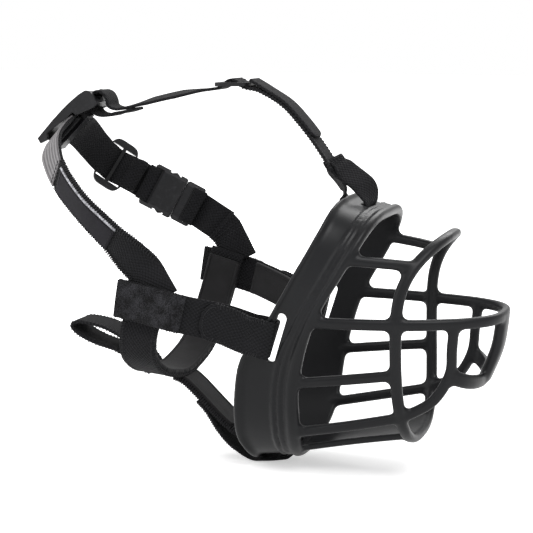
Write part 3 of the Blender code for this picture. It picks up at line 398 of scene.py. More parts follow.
KEEPER = Vector((-145.0, 0.0, 101.0))
KEEPER_ALONG = Vector((0.70, 0.0, 0.71)).normalized()
KEEPER_INWARD = Vector((0.71, 0.0, -0.70))
CROWN_BAR = (23.9, -10.5)
GLIDE = Frame((-133.0, 43.0, 71.5), (0.70, 0.44, -0.56), (0.38, 0.50, 0.78))
BUCKLE = Frame((-104.0, 56.5, 53.5), (0.87, 0.20, -0.456), (0.33, 0.28, 0.90))
MID_WEB = (Vector((-122.6, 49.4, 64.4)), Vector((0.36, 0.42, 0.83)))
CROWN_END = Vector((12.4, 0.0, 77.2))
CROWN_DOWN = Vector((0.59, 0.0, -0.81)).normalized()
CROWN_GLIDE = Frame((-43.0, 0.0, 121.0), (1.0, 0.0, 0.02), SIDE)


def cheek_stations():
    """From the slot back to the cheek junction, on the right side (Y below 0)."""
    slot = side_slot_centre()
    drop = SIDE_SLOT_EXTRA / 2.0 - 0.6
    edge = slot - FORE * (side_slot_width() / 2.0 - GAP - WEB_THICK / 2.0) - UP * drop
    outer = slot.y + BAND_WALL / 2.0
    inner = slot.y - BAND_WALL / 2.0
    reach = WEB_THICK / 2.0 + GAP
    near = ((0.0, outer + 0.2, 0.0), (0.0, inner - 0.6, 0.0), (-1.8, inner - reach - 2.3, 0.3),
            (-7.0, inner - reach - 2.3, 1.4), (-13.0, inner - reach - 0.6, 2.7))
    far = ((-30.0, 11.5, 1.5), (-42.0, 5.3, 4.8), (-54.0, 0.6, 7.8), (-60.0, 0.0, 9.2),
           (-72.0, 0.0, 11.8), (-86.0, 0.0, 14.0))
    stations = from_edge(edge, near) + [((x, y - CHEEK_OUT, z), FLAT) for x, y, z in far]
    return stations, edge, outer


def from_edge(edge, rows):
    """Stations on the right side by the slot: x and z from its edge, y from the middle."""
    return [((edge.x + x, -y, edge.z + z), LEAN) for x, y, z in rows]


def tab_stations():
    """The folded-back end, from the slot's mouth along the outside of the strap."""
    _, edge, outer = cheek_stations()
    off = outer + LIP + WEB_THICK / 2.0 + GAP
    lift = WEB_THICK + GAP + 0.1
    near = ((0.3, outer + 1.5, -0.1), (-2.4, off + 0.6, 0.4), (-7.0, off + 0.9, 1.5), (-14.0, off + 0.9, 2.9))
    return from_edge(edge, near) + [
        ((-30.0, 7.4 - CHEEK_OUT, 1.5), FLAT),
        ((-42.0, 5.5 - lift - CHEEK_OUT, 4.8), FLAT),
    ]


def throat_stations():
    """From the right cheek junction under the throat to the left one."""
    rows = ((-68.6, 0.0, 22.5, -0.96, 0.28), (-71.5, 0.0, 12.0, -0.97, 0.25), (-74.5, 0.0, 1.5, -0.97, 0.25),
            (-77.2, 1.2, -8.5, -0.98, 0.2), (-79.0, 7.4, -20.0, -0.99, 0.1), (-79.5, 22.5, -29.5, -1.0, 0.1))
    half = [((x, y - THROAT_OUT, z), (a, 0.0, c)) for x, y, z, a, c in rows]
    level = (-1.0, 0.0, 0.1)
    half.append(((-79.5, -16.0, -34.5), level))
    other = [((x, -y, z), w) for (x, y, z), w in reversed(half)]
    return half + [((-79.5, 0.0, -36.5), level)] + other


def in_middle(*places):
    """Places in the middle plane, from (x, z) pairs."""
    return [Vector((x, 0.0, z)) for x, z in places]


def chin_path():
    """In the middle plane: off the throat strap, inside the band, out of the slot and back."""
    rear = wall_middle(False, 0.0)
    slot, run = bottom_slot()
    rise = run.cross(LEFTWARD)
    clear = WEB_THICK / 2.0 + GAP
    low_in = BAND_WALL / 2.0 + clear + 0.9
    low_out = BAND_WALL / 2.0 + LIP + clear + 0.3
    by_band = ((rear, low_in + 4.0, -7.5), (rear, low_in + 1.0, -1.0), (rear, low_in + 0.1, 6.0),
               (slot, low_in, -6.0), (slot, low_in, -1.3), (slot, 0.0, 0.5), (slot, 0.7 - low_out, -1.4),
               (slot, -low_out, -6.0), (rear, -low_out, 3.0), (rear, 1.2 - low_out, -5.0))
    return (
        in_middle((-76.5, -38.8), (-71.5, -40.4), (-66.0, -44.6), (-58.0, -52.2), (-48.0, -61.4))
        + [base + rise * height + run * along for base, height, along in by_band]
        + in_middle((-43.0, -73.6), (-50.5, -66.0), (-57.0, -56.4), (-62.6, -50.6))
    )


def collar_path():
    """The loop behind the throat strap that a collar is threaded through."""
    return in_middle(
        (-90.4, -36.9), (-95.5, -35.2), (-103.0, -29.6), (-111.0, -25.6), (-122.0, -22.8), (-131.0, -19.4),
        (-136.6, -15.6), (-137.0, -12.4), (-132.0, -11.2), (-119.0, -13.2), (-106.5, -18.6), (-97.5, -26.0),
        (-92.8, -31.6), (-91.0, -34.1),
    )


def weave(u):
    """Height of the webbing as it passes under, over and under a glide's bars."""
    crest = GLIDE_THICK / 2.0 + WEB_THICK / 2.0 + GAP + 0.15
    return crest * math.cos(math.pi * u / GLIDE_REACH)


def weave_stations(frame, across):
    places = [GLIDE_REACH * (i / 4.0 - 1.0) for i in range(9)]
    return [(frame.at(u, 0.0, weave(u)), across) for u in places]


def right_neck_stations():
    """From the right cheek junction up behind the ear to the keeper."""
    keeper = KEEPER + KEEPER_INWARD * WEB_DROP
    out = -NECK_END_OUT
    return [
        ((-62.0, out, 14.0), (0.78, 0.0, 0.62)),
        ((-66.0, out, 20.6), (0.78, 0.0, 0.62)),
        ((-71.0, out - 0.4, 28.6), (0.77, -0.02, 0.63)),
        ((-78.0, out - 1.6, 35.4), (0.70, -0.14, 0.68)),
        ((-88.0, out - 1.4, 44.3), (0.52, -0.44, 0.68)),
        ((-105.8, 2.0 - CHEEK_OUT, 59.6), (0.46, -0.54, 0.68)),
        ((-122.0, 10.5 - CHEEK_OUT, 74.0), (0.52, -0.50, 0.67)),
        ((-132.0, -38.0, 86.0), (0.62, -0.33, 0.69)),
        ((-137.6, -22.0, 92.1), (0.68, -0.14, 0.71)),
        (keeper + Vector((0.8, -9.0, -1.0)), KEEPER_ALONG),
        (keeper + Vector((0.0, 2.0, 0.0)), KEEPER_ALONG),
    ]


def left_neck_stations():
    """From inside the keeper through the glide to the buckle's rear bar and round it."""
    keeper = KEEPER + KEEPER_INWARD * (WEB_DROP + WEB_THICK + GAP + 0.1)
    stations = [(keeper + Vector(shift), KEEPER_ALONG)
                for shift in ((0.8, -9.0, -0.9), (0.0, 1.0, 0.0), (0.2, 9.0, -1.2))]
    stations += [((-140.3, 19.0, 90.6), (0.55, 0.22, 0.80)), ((-140.4, 31.5, 83.0), (0.42, 0.42, 0.80))]
    return stations + weave_stations(GLIDE, GLIDE.w) + [MID_WEB] + bar_turn(FEMALE_BAR, -1.0)


def bar_turn(bar_u, sign, run=4.0):
    """Round one of the buckle's bars: outer side first, through the slot, back on the inner side.

    sign -1 arrives from lower u, +1 from higher u.
    """
    crest = 1.2 + GAP + 0.15 + WEB_THICK / 2.0
    far = -sign * (1.3 + GAP + 0.15 + WEB_THICK / 2.0)
    spots = (
        (sign * run, crest), (0.0, crest), (far * 0.84, crest * 0.84), (far, 0.0),
        (far * 0.84, -crest * 0.84), (0.0, -crest), (sign * run, -crest),
    )
    return [(BUCKLE.at(bar_u + u, 0.0, n), BUCKLE.w) for u, n in spots]


def return_stations():
    """The layer that comes back from the buckle to the glide, inside the first."""
    last = bar_turn(FEMALE_BAR, -1.0)[-1][0]
    inside = weave(GLIDE_LENGTH / 2.0) - WEB_THICK - 1.1
    return [
        (last - BUCKLE.u * 2.6 - BUCKLE.n * 1.5, BUCKLE.w),
        (MID_WEB[0] - GLIDE.n * 4.4, MID_WEB[1]),
        (GLIDE.at(GLIDE_LENGTH / 2.0 + 0.5, 0.0, inside), GLIDE.w),
        (GLIDE.at(GLIDE_LENGTH / 2.0 - 3.0, 0.0, inside), GLIDE.w),
    ]


# from the left cheek junction up towards the buckle
JUNCTION_WEB = (
    (Vector((-72.5, 61.9, 35.4)), (0.36, 0.18, 0.91)),
    (Vector((-80.4, 60.2, 40.6)), (0.33, 0.27, 0.90)),
)
# the turned-down webbing that joins the buckle web to the left cheek junction
FOLD = (
    ((-74.5, 58.5, 37.3), (0.35, 0.20, 0.91)),
    ((-70.6, 59.0, 33.6), (0.50, 0.10, 0.86)),
    ((-66.2, NECK_END_OUT, 26.6), (0.80, 0.0, 0.60)),
    ((-61.0, NECK_END_OUT, 17.0), (0.88, 0.0, 0.48)),
)


def crown_stations():
    """From the keeper's bar over the crown, through the glide, to the crown loop."""
    frame = Frame(KEEPER, KEEPER_ALONG, SIDE)
    bar_u, bar_n = CROWN_BAR
    wrap = (
        (12.2, -17.7), (7.0, -14.7), (3.2, -11.9), (0.1, -10.3), (-3.4, -7.4), (-5.6, -3.8), (-5.4, 0.2),
        (-3.4, 3.6), (0.2, 4.9), (4.0, 3.7), (5.6, 0.2), (4.6, -3.6), (3.0, -6.4), (4.4, -9.9),
    )
    turned = (0.0, -0.98, -0.19)
    rear = ((-106.0, 107.2, SIDE), (-92.0, 111.2, turned), (-75.0, 115.0, turned), (-60.0, 117.4, SIDE))
    front = in_middle((-27.0, 117.4), (-15.0, 110.6), (-6.0, 101.6), (3.0, 90.6))
    front += [CROWN_END - CROWN_DOWN * 4.0, CROWN_END]
    stations = [(frame.at(bar_u + u, 0.0, bar_n + n), SIDE) for u, n in wrap]
    stations += [((x, 0.0, z), across) for x, z, across in rear]
    return stations + weave_stations(CROWN_GLIDE, SIDE) + [(place, SIDE) for place in front]


def tail_stations():
    """The free tail that lies over the front run of the crown strap."""
    lift = WEB_THICK + GAP + 0.1
    places = ((-33.0, 121.3, 0.1, 1.0), (-26.0, 117.2, 0.5, 0.87), (-15.0, 110.6, 0.68, 0.73),
              (-6.0, 101.6, 0.76, 0.65), (1.2, 92.8, 0.79, 0.61))
    return [((x + lift * a, 0.0, z + lift * b), SIDE) for x, z, a, b in places]


def crown_loop_stations():
    """A folded loop round the band's rear edge and through its top slot, its legs twisted."""
    slot = wall_middle(True, TOP_SLOT_AT)
    rear = wall_middle(True, 0.0)
    clear = WEB_THICK / 2.0 + GAP + 0.3
    inside = BAND_WALL / 2.0 + clear
    face = Vector((-CROWN_DOWN.z, 0.0, CROWN_DOWN.x)) * (WEB_THICK + GAP + 0.1)
    # each row: from where, two distances, and the x and y of the way across
    start = ((-4.0, -1.0, 0.55, -0.83), (-0.5, -1.0, 0.65, -0.76))
    by_band = ((rear, -clear - 2.6, 5.2, 0.50, -0.87), (rear, -clear - 0.6, 0.4, 0.0, -1.0),
               (rear, 0.6 - clear, 0.4 - inside, 0.0, -1.0), (rear, 3.5, -inside - 0.4, 0.0, -1.0),
               (slot, -4.0, -inside, 0.0, -1.0), (slot, -0.3, 1.0 - inside, 0.0, -1.0),
               (slot, 0.8, 0.6, 0.0, -1.0), (slot, 0.2, 4.6, -0.25, -0.97), (slot, -5.4, 10.2, -0.72, -0.70))
    end = ((2.2, 1.9, -0.80, -0.60), (-2.4, 1.0, -0.62, -0.78), (-6.2, 1.0, -0.5, -0.87))
    first, last = (
        [(CROWN_END + CROWN_DOWN * down + face * out, (x, y, 0.0)) for down, out, x, y in rows]
        for rows in (start, end)
    )
    return first + [(base + FORE * ahead + UP * high, (x, y, 0.0)) for base, ahead, high, x, y in by_band] + last


# ---------------------------------------------------------------- materials
class Nodes:
    """A small wrapper that keeps a material's node tree readable."""

    def __init__(self, name, colour, roughness):
        self.material = bpy.data.materials.new(name)
        self.material.use_nodes = True
        self.tree = self.material.node_tree
        self.shader = self.tree.nodes["Principled BSDF"]
        self.shader.inputs["Base Color"].default_value = (*colour, 1.0)
        self.shader.inputs["Roughness"].default_value = roughness
        self.colour = colour
        self.place = self.new("ShaderNodeTexCoord").outputs["Object"]

    def new(self, kind, **settings):
        node = self.tree.nodes.new(kind)
        for key, value in settings.items():
            setattr(node, key, value)
        return node

    def link(self, output, target):
        if isinstance(target, str):
            target = self.shader.inputs[target]
        self.tree.links.new(output, target)

    def maths(self, operation, *values):
        node = self.new("ShaderNodeMath", operation=operation)
        for socket, value in zip(node.inputs, values):
            if isinstance(value, (int, float)):
                socket.default_value = value
            else:
                self.link(value, socket)
        return node.outputs[0]

    def times(self, one, two):
        return self.maths("MULTIPLY", one, two)

    def plus(self, one, two):
        return self.maths("ADD", one, two)

    def noise(self, scale, detail=3.0, rough=0.5):
        node = self.new("ShaderNodeTexNoise")
        for key, value in (("Scale", scale), ("Detail", detail), ("Roughness", rough)):
            node.inputs[key].default_value = value
        self.link(self.place, node.inputs["Vector"])
        return node.outputs["Fac"]

    def strip(self):
        """Along and across a strip, in millimetres."""
        split = self.new("ShaderNodeSeparateXYZ")
        self.link(self.new("ShaderNodeUVMap", uv_map="strip").outputs[0], split.inputs[0])
        return split.outputs[0], split.outputs[1]

    def sine(self, along, half_wave):
        return self.maths("SINE", self.times(along, math.pi / half_wave))

    def ramp(self, factor, low, high, a=0.0, b=1.0):
        node = self.new("ShaderNodeMapRange", clamp=True)
        self.link(factor, node.inputs[0])
        for socket, value in zip(list(node.inputs)[1:5], (low, high, a, b)):
            socket.default_value = value
        return node.outputs[0]

    def mix(self, factor, one, two):
        node = self.new("ShaderNodeMix", data_type="RGBA")
        self.link(factor, node.inputs[0])
        for socket, value in zip((node.inputs[6], node.inputs[7]), (one, two)):
            if isinstance(value, tuple):
                socket.default_value = (*value, 1.0)
            else:
                self.link(value, socket)
        return node.outputs[2]

    def tones(self, factor, low, high, dark, light):
        """The material's colour made darker and lighter by a factor from low to high."""
        dark, light = (tuple(min(1.0, c * share) for c in self.colour) for share in (dark, light))
        return self.mix(self.ramp(factor, low, high), dark, light)

    def worn(self, edge, scuff, most, least):
        """How worn each spot is: edges, more where they are scuffed."""
        sharp = self.ramp(self.new("ShaderNodeNewGeometry").outputs["Pointiness"], *edge)
        return self.times(sharp, self.plus(self.times(scuff, most), least))

    def finish(self, base, *bumps, specular=0.2, sheen=0.0):
        """Set the colour, stack (height, strength, distance in mm) bumps, and set the gloss."""
        self.link(base, "Base Color")
        last = None
        for height, strength, distance in bumps:
            node = self.new("ShaderNodeBump")
            node.inputs["Strength"].default_value = strength
            node.inputs["Distance"].default_value = distance * MM
            self.link(height, node.inputs["Height"])
            if last:
                self.link(last, node.inputs["Normal"])
            last = node.outputs[0]
        self.link(last, "Normal")
        self.shader.inputs["Specular IOR Level"].default_value = specular
        self.shader.inputs["Sheen Weight"].default_value = sheen
        return self.material


def rubber():
    """Satin moulded rubber: fine grain, faint cloudiness and slightly worn, lighter edges."""
    m = Nodes("moulded_rubber", (0.0052, 0.0054, 0.0062), 0.40)
    cloud = m.noise(28.0, 4.0)
    scuff = m.ramp(m.noise(220.0, 5.0, 0.7), 0.52, 0.75)
    base = m.tones(cloud, 0.35, 0.7, 0.82, 1.22)
    base = m.mix(m.worn((0.51, 0.60), scuff, 0.6, 0.35), base, (0.020, 0.0205, 0.022))
    m.link(m.plus(m.ramp(cloud, 0.3, 0.7, 0.33, 0.43), m.times(scuff, 0.05)), "Roughness")
    return m.finish(base, (m.noise(1500.0, 2.0), 0.15, 0.2), (m.noise(90.0), 0.15, 0.5), specular=0.17)


def plastic():
    """Hard moulded acetal: finely sparked faces, brighter rubbed edges."""
    m = Nodes("moulded_plastic", (0.0036, 0.0036, 0.0042), 0.34)
    scuff = m.ramp(m.noise(400.0, 5.0, 0.7), 0.5, 0.7)
    base = m.mix(m.worn((0.505, 0.56), scuff, 0.5, 0.4), m.colour, (0.020, 0.020, 0.022))
    m.link(m.ramp(m.noise(60.0), 0.3, 0.7, 0.28, 0.40), "Roughness")
    return m.finish(base, (m.noise(2600.0, 2.0), 0.22, 0.12), (m.noise(240.0, 2.0), 0.08, 0.3))


def webbing():
    """Plain-woven webbing: crossing yarns, slubs, dusty wear, painted shade in the weave's hollows and painted
    highlight on its crests.
    """
    m = Nodes("black_webbing", (0.0065, 0.0065, 0.0073), 0.82)
    u, v = m.strip()
    wander = m.times(m.noise(160.0, 2.0), 0.7)
    warp = m.maths("SINE", m.plus(m.times(u, math.pi / 1.25), wander))
    weft = m.maths("SINE", m.plus(m.times(v, math.pi), wander))
    over = m.ramp(m.times(warp, weft), -1.0, 1.0)
    height = m.plus(over, m.times(m.noise(420.0, 4.0, 0.65), 0.5))
    # painted shade and highlight: the colour follows the weave's height, darker in its hollows and lighter on the yarn
    # crests, mixed with random dusty tone
    tone = m.plus(m.times(height, 0.55), m.times(m.noise(55.0), 0.35))
    return m.finish(m.tones(tone, 0.25, 1.0, 0.45, 1.9), (height, 0.75, 0.55), (m.noise(2400.0, 2.0), 0.3, 0.15),
                    specular=0.12, sheen=0.02)


def lining_cloth():
    """Smooth knitted padding cloth with a soft, slightly mottled face."""
    m = Nodes("padding_cloth", (0.0055, 0.0052, 0.0058), 0.72)
    u, v = m.strip()
    knit = m.ramp(m.times(m.sine(u, 0.55), m.sine(v, 0.45)), -1.0, 1.0)
    mottle = m.noise(120.0, 4.0)
    return m.finish(m.tones(mottle, 0.3, 0.7, 0.7, 1.45), (knit, 0.3, 0.2), (mottle, 0.35, 0.8),
                    (m.noise(1700.0), 0.2, 0.12), sheen=0.03)


def pile_cloth():
    """Loop pile of a touch fastener: a dense fuzz of tiny loops."""
    m = Nodes("loop_pile", (0.0055, 0.0055, 0.0062), 0.95)
    loops = m.new("ShaderNodeTexVoronoi")
    loops.inputs["Scale"].default_value = 1150.0
    m.link(m.place, loops.inputs["Vector"])
    fuzz = m.noise(1300.0, 4.0, 0.7)
    tone = m.plus(m.times(fuzz, 0.6), m.times(m.noise(180.0), 0.4))
    return m.finish(m.tones(tone, 0.44, 0.60, 0.3, 5.0), (loops.outputs["Distance"], 0.7, 0.7), (fuzz, 0.9, 0.9),
                    specular=0.15, sheen=0.05)


def reflective_cloth():
    """Grey reflective webbing with raised ribs that run along it, with painted shade between the ribs and painted
    highlight on their tops.
    """
    m = Nodes("reflective_webbing", (0.17, 0.16, 0.165), 0.55)
    u, v = m.strip()
    ribs = m.ramp(m.sine(v, 1.65), -1.0, 1.0)
    yarn = m.ramp(m.sine(u, 0.45), -1.0, 1.0)
    slub = m.noise(500.0, 4.0)
    # painted shade and highlight: the colour is darker between the raised ribs and lighter on their tops, mixed with
    # random slub tone
    tone = m.ramp(m.plus(m.times(ribs, 0.65), m.times(slub, 0.35)), 0.2, 0.8)
    return m.finish(m.mix(tone, (0.055, 0.051, 0.055), (0.205, 0.195, 0.20)),
                    (ribs, 0.6, 0.5), (yarn, 0.3, 0.25), (slub, 0.25, 0.2), specular=0.5)


def patch_cloth():
    """The sewn patch: a tight, bare, very dark woven face."""
    m = Nodes("patch_cloth", (0.0062, 0.0055, 0.0080), 0.78)
    twill = m.ramp(m.sine(m.plus(*m.strip()), 0.45), -1.0, 1.0)
    return m.finish(m.tones(m.noise(130.0), 0.3, 0.7, 0.8, 1.3), (twill, 0.4, 0.2), (m.noise(900.0), 0.25, 0.15))


def thread(name, colour):
    m = Nodes(name, colour, 0.7)
    return m.finish(m.tones(m.noise(900.0), 0.35, 0.65, 0.6, 1.7), (m.noise(2000.0), 0.5, 0.2))


RUBBER = rubber()
PLASTIC = plastic()
WEB = webbing()
LINING = lining_cloth()
PILE = pile_cloth()
REFLECTIVE = reflective_cloth()
PATCH = patch_cloth()
THREAD = thread("black_thread", (0.0085, 0.0085, 0.0095))
CORD = thread("reflective_cord", (0.30, 0.30, 0.32))


# ---------------------------------------------------------------- meshes
def linked(name, data):
    obj = bpy.data.objects.new(name, data)
    bpy.context.scene.collection.objects.link(obj)
    return obj


def dressed(obj, material, body, node=None):
    """A finished piece: its material and slot, its body and the CAD node that it stands in for."""
    obj.data.materials.append(material)
    obj.data.shade_smooth()
    if body:
        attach(obj, body)
    if node:
        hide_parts(node)
    return obj


def make_object(name, bm, material, body, node=None):
    bmesh.ops.recalc_face_normals(bm, faces=bm.faces)
    bmesh.ops.scale(bm, verts=bm.verts, vec=(MM, MM, MM))
    mesh = bpy.data.meshes.new(name)
    bm.to_mesh(mesh)
    bm.free()
    return dressed(linked(name, mesh), material, body, node)


def strip_outline(width, thick, crown, ease):
    """A strip's cross-section: (across, up) points with round edges and a slight crown."""
    hw, ht = width / 2.0, thick / 2.0
    top = []
    for i in range(9):
        w = (hw - ease) * (2.0 * i / 8 - 1.0)
        top.append((w, ht + crown * (1.0 - (w / hw) ** 2)))
    right = [(hw - ease * 0.3, ht * 0.72), (hw, ht * 0.25), (hw, -ht * 0.25), (hw - ease * 0.3, -ht * 0.72)]
    low = [(w, -ht - crown * 0.3 * (1.0 - (w / hw) ** 2)) for w, _ in reversed(top)]
    left = [(-w, -n) for w, n in right]
    return top + right + low + left


def run_frames(stations, step, span=(0.0, 1.0), mirror=False):
    """Frames along a strip's path, trimmed to the span, with their distance along it."""
    frames = frames_along(smooth_path(stations, step))
    count = len(frames) - 1
    kept = frames[round(span[0] * count):round(span[1] * count) + 1]
    return kept, distances(frame.o for frame in kept), mirror


def add_strip(bm, run, width, thick, lift=0.0, aside=0.0, crown=0.0, ease=0.5, ripple=0.0, seed=1, round_end=0.0):
    """A strip of cloth along a run, with its length and width in millimetres as UVs."""
    frames, places, mirror = run
    outline = strip_outline(width, thick, crown, ease)
    noise = random.Random(seed)
    phase = [noise.uniform(0.0, 6.28) for _ in range(4)]
    layer = bm.loops.layers.uv.get("strip") or bm.loops.layers.uv.new("strip")
    rows = []
    for f, s in zip(frames, places):
        wave = ripple * math.sin(s / 7.0 + phase[0]) * 0.6 + ripple * math.sin(s / 3.1 + phase[1]) * 0.4
        left_over = (places[-1] - s) / round_end if round_end else 1.0
        narrow = math.sqrt(max(0.0, 1.0 - (1.0 - left_over) ** 2)) if left_over < 1.0 else 1.0
        narrow = max(0.35, narrow)
        ring = []
        for w, n in outline:
            w *= narrow
            edge = ripple * 0.5 * math.sin(s / 4.3 + phase[2]) * (w / (width / 2.0))
            spot = f.at(0.0, aside + w + edge * 0.5, lift + n + wave * 0.5 * abs(w) / width)
            ring.append(bm.verts.new(put(spot, mirror)))
        rows.append(ring)
    across = distances(Vector(point) for point in (*outline, outline[0]))
    for one, two, start, end in zip(rows, rows[1:], places, places[1:]):
        for i in range(len(outline)):
            j = (i + 1) % len(outline)
            face = bm.faces.new((one[i], one[j], two[j], two[i]))
            uv = ((start, across[i]), (start, across[i + 1]), (end, across[i + 1]), (end, across[i]))
            for loop, pair in zip(face.loops, uv):
                loop[layer].uv = pair
    for ring, s, flip in ((rows[0], places[0], False), (rows[-1], places[-1], True)):
        face = bm.faces.new(list(reversed(ring)) if flip else ring)
        for loop in face.loops:
            loop[layer].uv = (s, across[ring.index(loop.vert)])


def add_tube(bm, rings, closed=False):
    """Faces between rings of places, with both ends filled unless they meet."""
    rows = [[bm.verts.new(point) for point in ring] for ring in rings]
    for one, two in zip(rows, rows[1:] + rows[:1] if closed else rows[1:]):
        for i in range(len(one)):
            j = (i + 1) % len(one)
            bm.faces.new((one[i], one[j], two[j], two[i]))
    if not closed:
        bm.faces.new(rows[0])
        bm.faces.new(list(reversed(rows[-1])))


def stitch(bm, run, centre, along, side, up, length, radius, squash=0.7):
    """A short plump stitch."""
    centre, along, side, up = (put(vector, run[2]) for vector in (centre, along, side, up))
    rings = []
    for t, r in ((-0.5, 0.25), (-0.38, 0.8), (0.0, 1.0), (0.38, 0.8), (0.5, 0.25)):
        ring = []
        for i in range(6):
            a = math.tau * i / 6
            offset = side * (math.cos(a) * radius * r) + up * (math.sin(a) * radius * r * squash)
            ring.append(centre + along * (t * length) + offset)
        rings.append(ring)
    add_tube(bm, rings)


def frame_at(run, s):
    """The frame a distance s along the run."""
    frames, places, _ = run
    k = 0
    while k < len(places) - 2 and places[k + 1] < s:
        k += 1
    t = (s - places[k]) / max(1e-9, places[k + 1] - places[k])
    return Frame(frames[k].o.lerp(frames[k + 1].o, t), frames[k].u, frames[k].w)


def stitch_row(bm, run, start, end, w, n, pitch=2.6, length=1.9, radius=0.28):
    """Stitches that run along the strip, at w across it and n off its middle."""
    s = start + pitch / 2.0
    while s < end - pitch / 3.0:
        f = frame_at(run, s)
        stitch(bm, run, f.at(0.0, w, n), f.u, f.w, f.n, length, radius)
        s += pitch


def stitch_across(bm, run, s, half, n, pitch=2.4):
    """A bar of stitches across the strip."""
    f = frame_at(run, s)
    w = -half + pitch / 2.0
    while w < half:
        stitch(bm, run, f.at(0.0, w, n), f.w, f.u, f.n, 1.8, 0.3)
        w += pitch


def overlock(bm, run, half, thick, pitch=1.3, lift=0.0, seeds=(3, 3)):
    """Overcast thread that wraps both edges of the strip, slightly uneven."""
    for side, seed in zip((1.0, -1.0), seeds):
        noise = random.Random(seed)
        s = 0.6
        while s < run[1][-1] - 0.6:
            f = frame_at(run, s)
            reach = noise.uniform(-0.30, 0.25) * 0.6
            lean = noise.uniform(0.05, 0.60)
            direction = (f.w * side + f.u * lean).normalized()
            for n in (thick / 2.0 + 0.10, -thick / 2.0 - 0.10):
                centre = f.at(0.0, side * (half - 1.25 + reach), lift + n)
                stitch(bm, run, centre, direction, f.u, f.n, 2.4, 0.33, 0.6)
            wrap = f.at(0.0, side * (half - 0.25 + reach), lift)
            stitch(bm, run, wrap, f.n, f.u, f.w, thick + 0.7, 0.40, 1.0)
            s += pitch * noise.uniform(0.88, 1.14)


# ---------------------------------------------------------------- the basket
def tool(bm):
    """A bare object in millimetres, for use inside this section."""
    mesh = bpy.data.meshes.new("tool")
    bmesh.ops.recalc_face_normals(bm, faces=bm.faces)
    bm.to_mesh(mesh)
    bm.free()
    return linked("tool", mesh)


def loft(rings, closed=False):
    bm = bmesh.new()
    add_tube(bm, rings, closed)
    return tool(bm)


def modified(obj, kind, **settings):
    """The object with one modifier applied to its mesh."""
    step = obj.modifiers.new(kind, kind)
    for key, value in settings.items():
        setattr(step, key, value)
    graph = bpy.context.evaluated_depsgraph_get()
    mesh = bpy.data.meshes.new_from_object(obj.evaluated_get(graph))
    obj.modifiers.clear()
    obj.data = mesh


def pushed(obj, reach):
    """Every point moved along its normal."""
    count = len(obj.data.vertices)
    places = np.zeros(count * 3)
    normals = np.zeros(count * 3)
    obj.data.vertices.foreach_get("co", places)
    obj.data.vertex_normals.foreach_get("vector", normals)
    obj.data.vertices.foreach_set("co", places + normals * reach)
    obj.data.update()
    return obj


def joined(objects):
    bm = bmesh.new()
    for obj in objects:
        bm.from_mesh(obj.data)
        bpy.data.objects.remove(obj, do_unlink=True)
    return tool(bm)


def bar_ring(spot, width, depth, points=16):
    hw, hd = width / 2.0, depth / 2.0
    ring = []
    for i in range(points):
        angle = math.tau * (i + 0.5) / points
        c, s = math.cos(angle), math.sin(angle)
        w = hw * math.copysign(abs(c) ** 0.7, c)
        n = hd * math.copysign(abs(s) ** 0.7, s)
        ring.append(spot.at(0.0, w, n))
    return ring


def bar(stations, width=BAR_WIDTH, depth=BAR_DEPTH):
    path = smooth_path(stations, 2.5)
    return loft([
        bar_ring(Frame(spot, f.u, f.u.cross(outward)), width, depth)
        for (spot, outward), f in zip(path, frames_along(path))
    ])


def hoop():
    middle = (HOOP_TOP - HOOP_BOTTOM) / 2.0
    half = (HOOP_TOP + HOOP_BOTTOM) / 2.0
    fine = [squarish(math.tau * i / 720, HOOP_HALF_WIDTH, half, half, 2.75, 2.75, middle) for i in range(720)]
    rows = spaced_ring(fine, 140)
    places = [Vector((hoop_x(spot.y), spot.x, spot.y)) for spot, _ in rows]
    rings = []
    for i, place in enumerate(places):
        along = (places[(i + 1) % 140] - places[i - 1]).normalized()
        outward = Vector((0.0, rows[i][1].x, rows[i][1].y))
        rings.append(bar_ring(Frame(place, along, along.cross(outward)), BAR_WIDTH + 0.6, BAR_DEPTH + 0.4))
    return loft(rings, closed=True)


def band_sweep(profile):
    """A profile of (from the rear edge, out) pairs swept round the band."""
    return loft([[band_point(part, a / BAND_LENGTH, out) for a, out in profile] for part in band_parts(200)],
                closed=True)


def round_bead(a, out, radius):
    angles = [math.tau * i / 10 for i in range(10)]
    return band_sweep([(a + radius * math.cos(angle), out + radius * math.sin(angle)) for angle in angles])


def chin_plate():
    rear = wall_middle(False, 1.0 - 3.0 / BAND_LENGTH)
    front = Vector((hoop_x(-HOOP_BOTTOM), 0.0, -HOOP_BOTTOM))
    rings = []
    for i in range(17):
        t = i / 16
        centre = rear.lerp(front, t) + Vector((0.0, 0.0, 1.0))
        half = (CHIN_PLATE_WIDTH / 2.0) * (1.0 - 0.12 * math.sin(math.pi * t))
        shares = [2.0 * k / 16 - 1.0 for k in range(17)]
        upper, lower = (
            [centre + Vector((0.0, s * half, 2.8 * s * s + face * CHIN_PLATE_DEPTH / 2.0)) for s in shares]
            for face in (1.0, -1.0)
        )
        rings.append(upper + lower[::-1])
    return loft(rings)


def slot_cutter(centre, along, across, outward, length, width, depth):
    """A cutter with straight sides and round ends."""
    straight = length / 2.0 - width / 2.0
    ring = []
    for i in range(48):
        angle = math.tau * (i + 0.5) / 48
        shift = straight if math.cos(angle) > 0.0 else -straight
        ring.append(centre + along * (shift + width / 2.0 * math.cos(angle)) + across * (width / 2.0 * math.sin(angle)))
    return loft([[p + outward * n for p in ring] for n in (-depth / 2.0, depth / 2.0)])


def slot_cutters():
    web = WEB_WIDTH + 2.0 * SLOT_PLAY
    crown = CROWN_WIDTH + 2.0 * SLOT_PLAY
    low, run = bottom_slot()
    sides = [put(side_slot_centre(), mirror) for mirror in (True, False)]
    cutters = [slot_cutter(side, UP, FORE, LEFTWARD, web + SIDE_SLOT_EXTRA, side_slot_width(), 16.0) for side in sides]
    cutters.append(slot_cutter(wall_middle(True, TOP_SLOT_AT), LEFTWARD, FORE, UP, crown, TOP_SLOT_WIDTH, 12.0))
    cutters.append(slot_cutter(low, LEFTWARD, run, run.cross(LEFTWARD), web, BOTTOM_SLOT_WIDTH, 12.0))
    return cutters


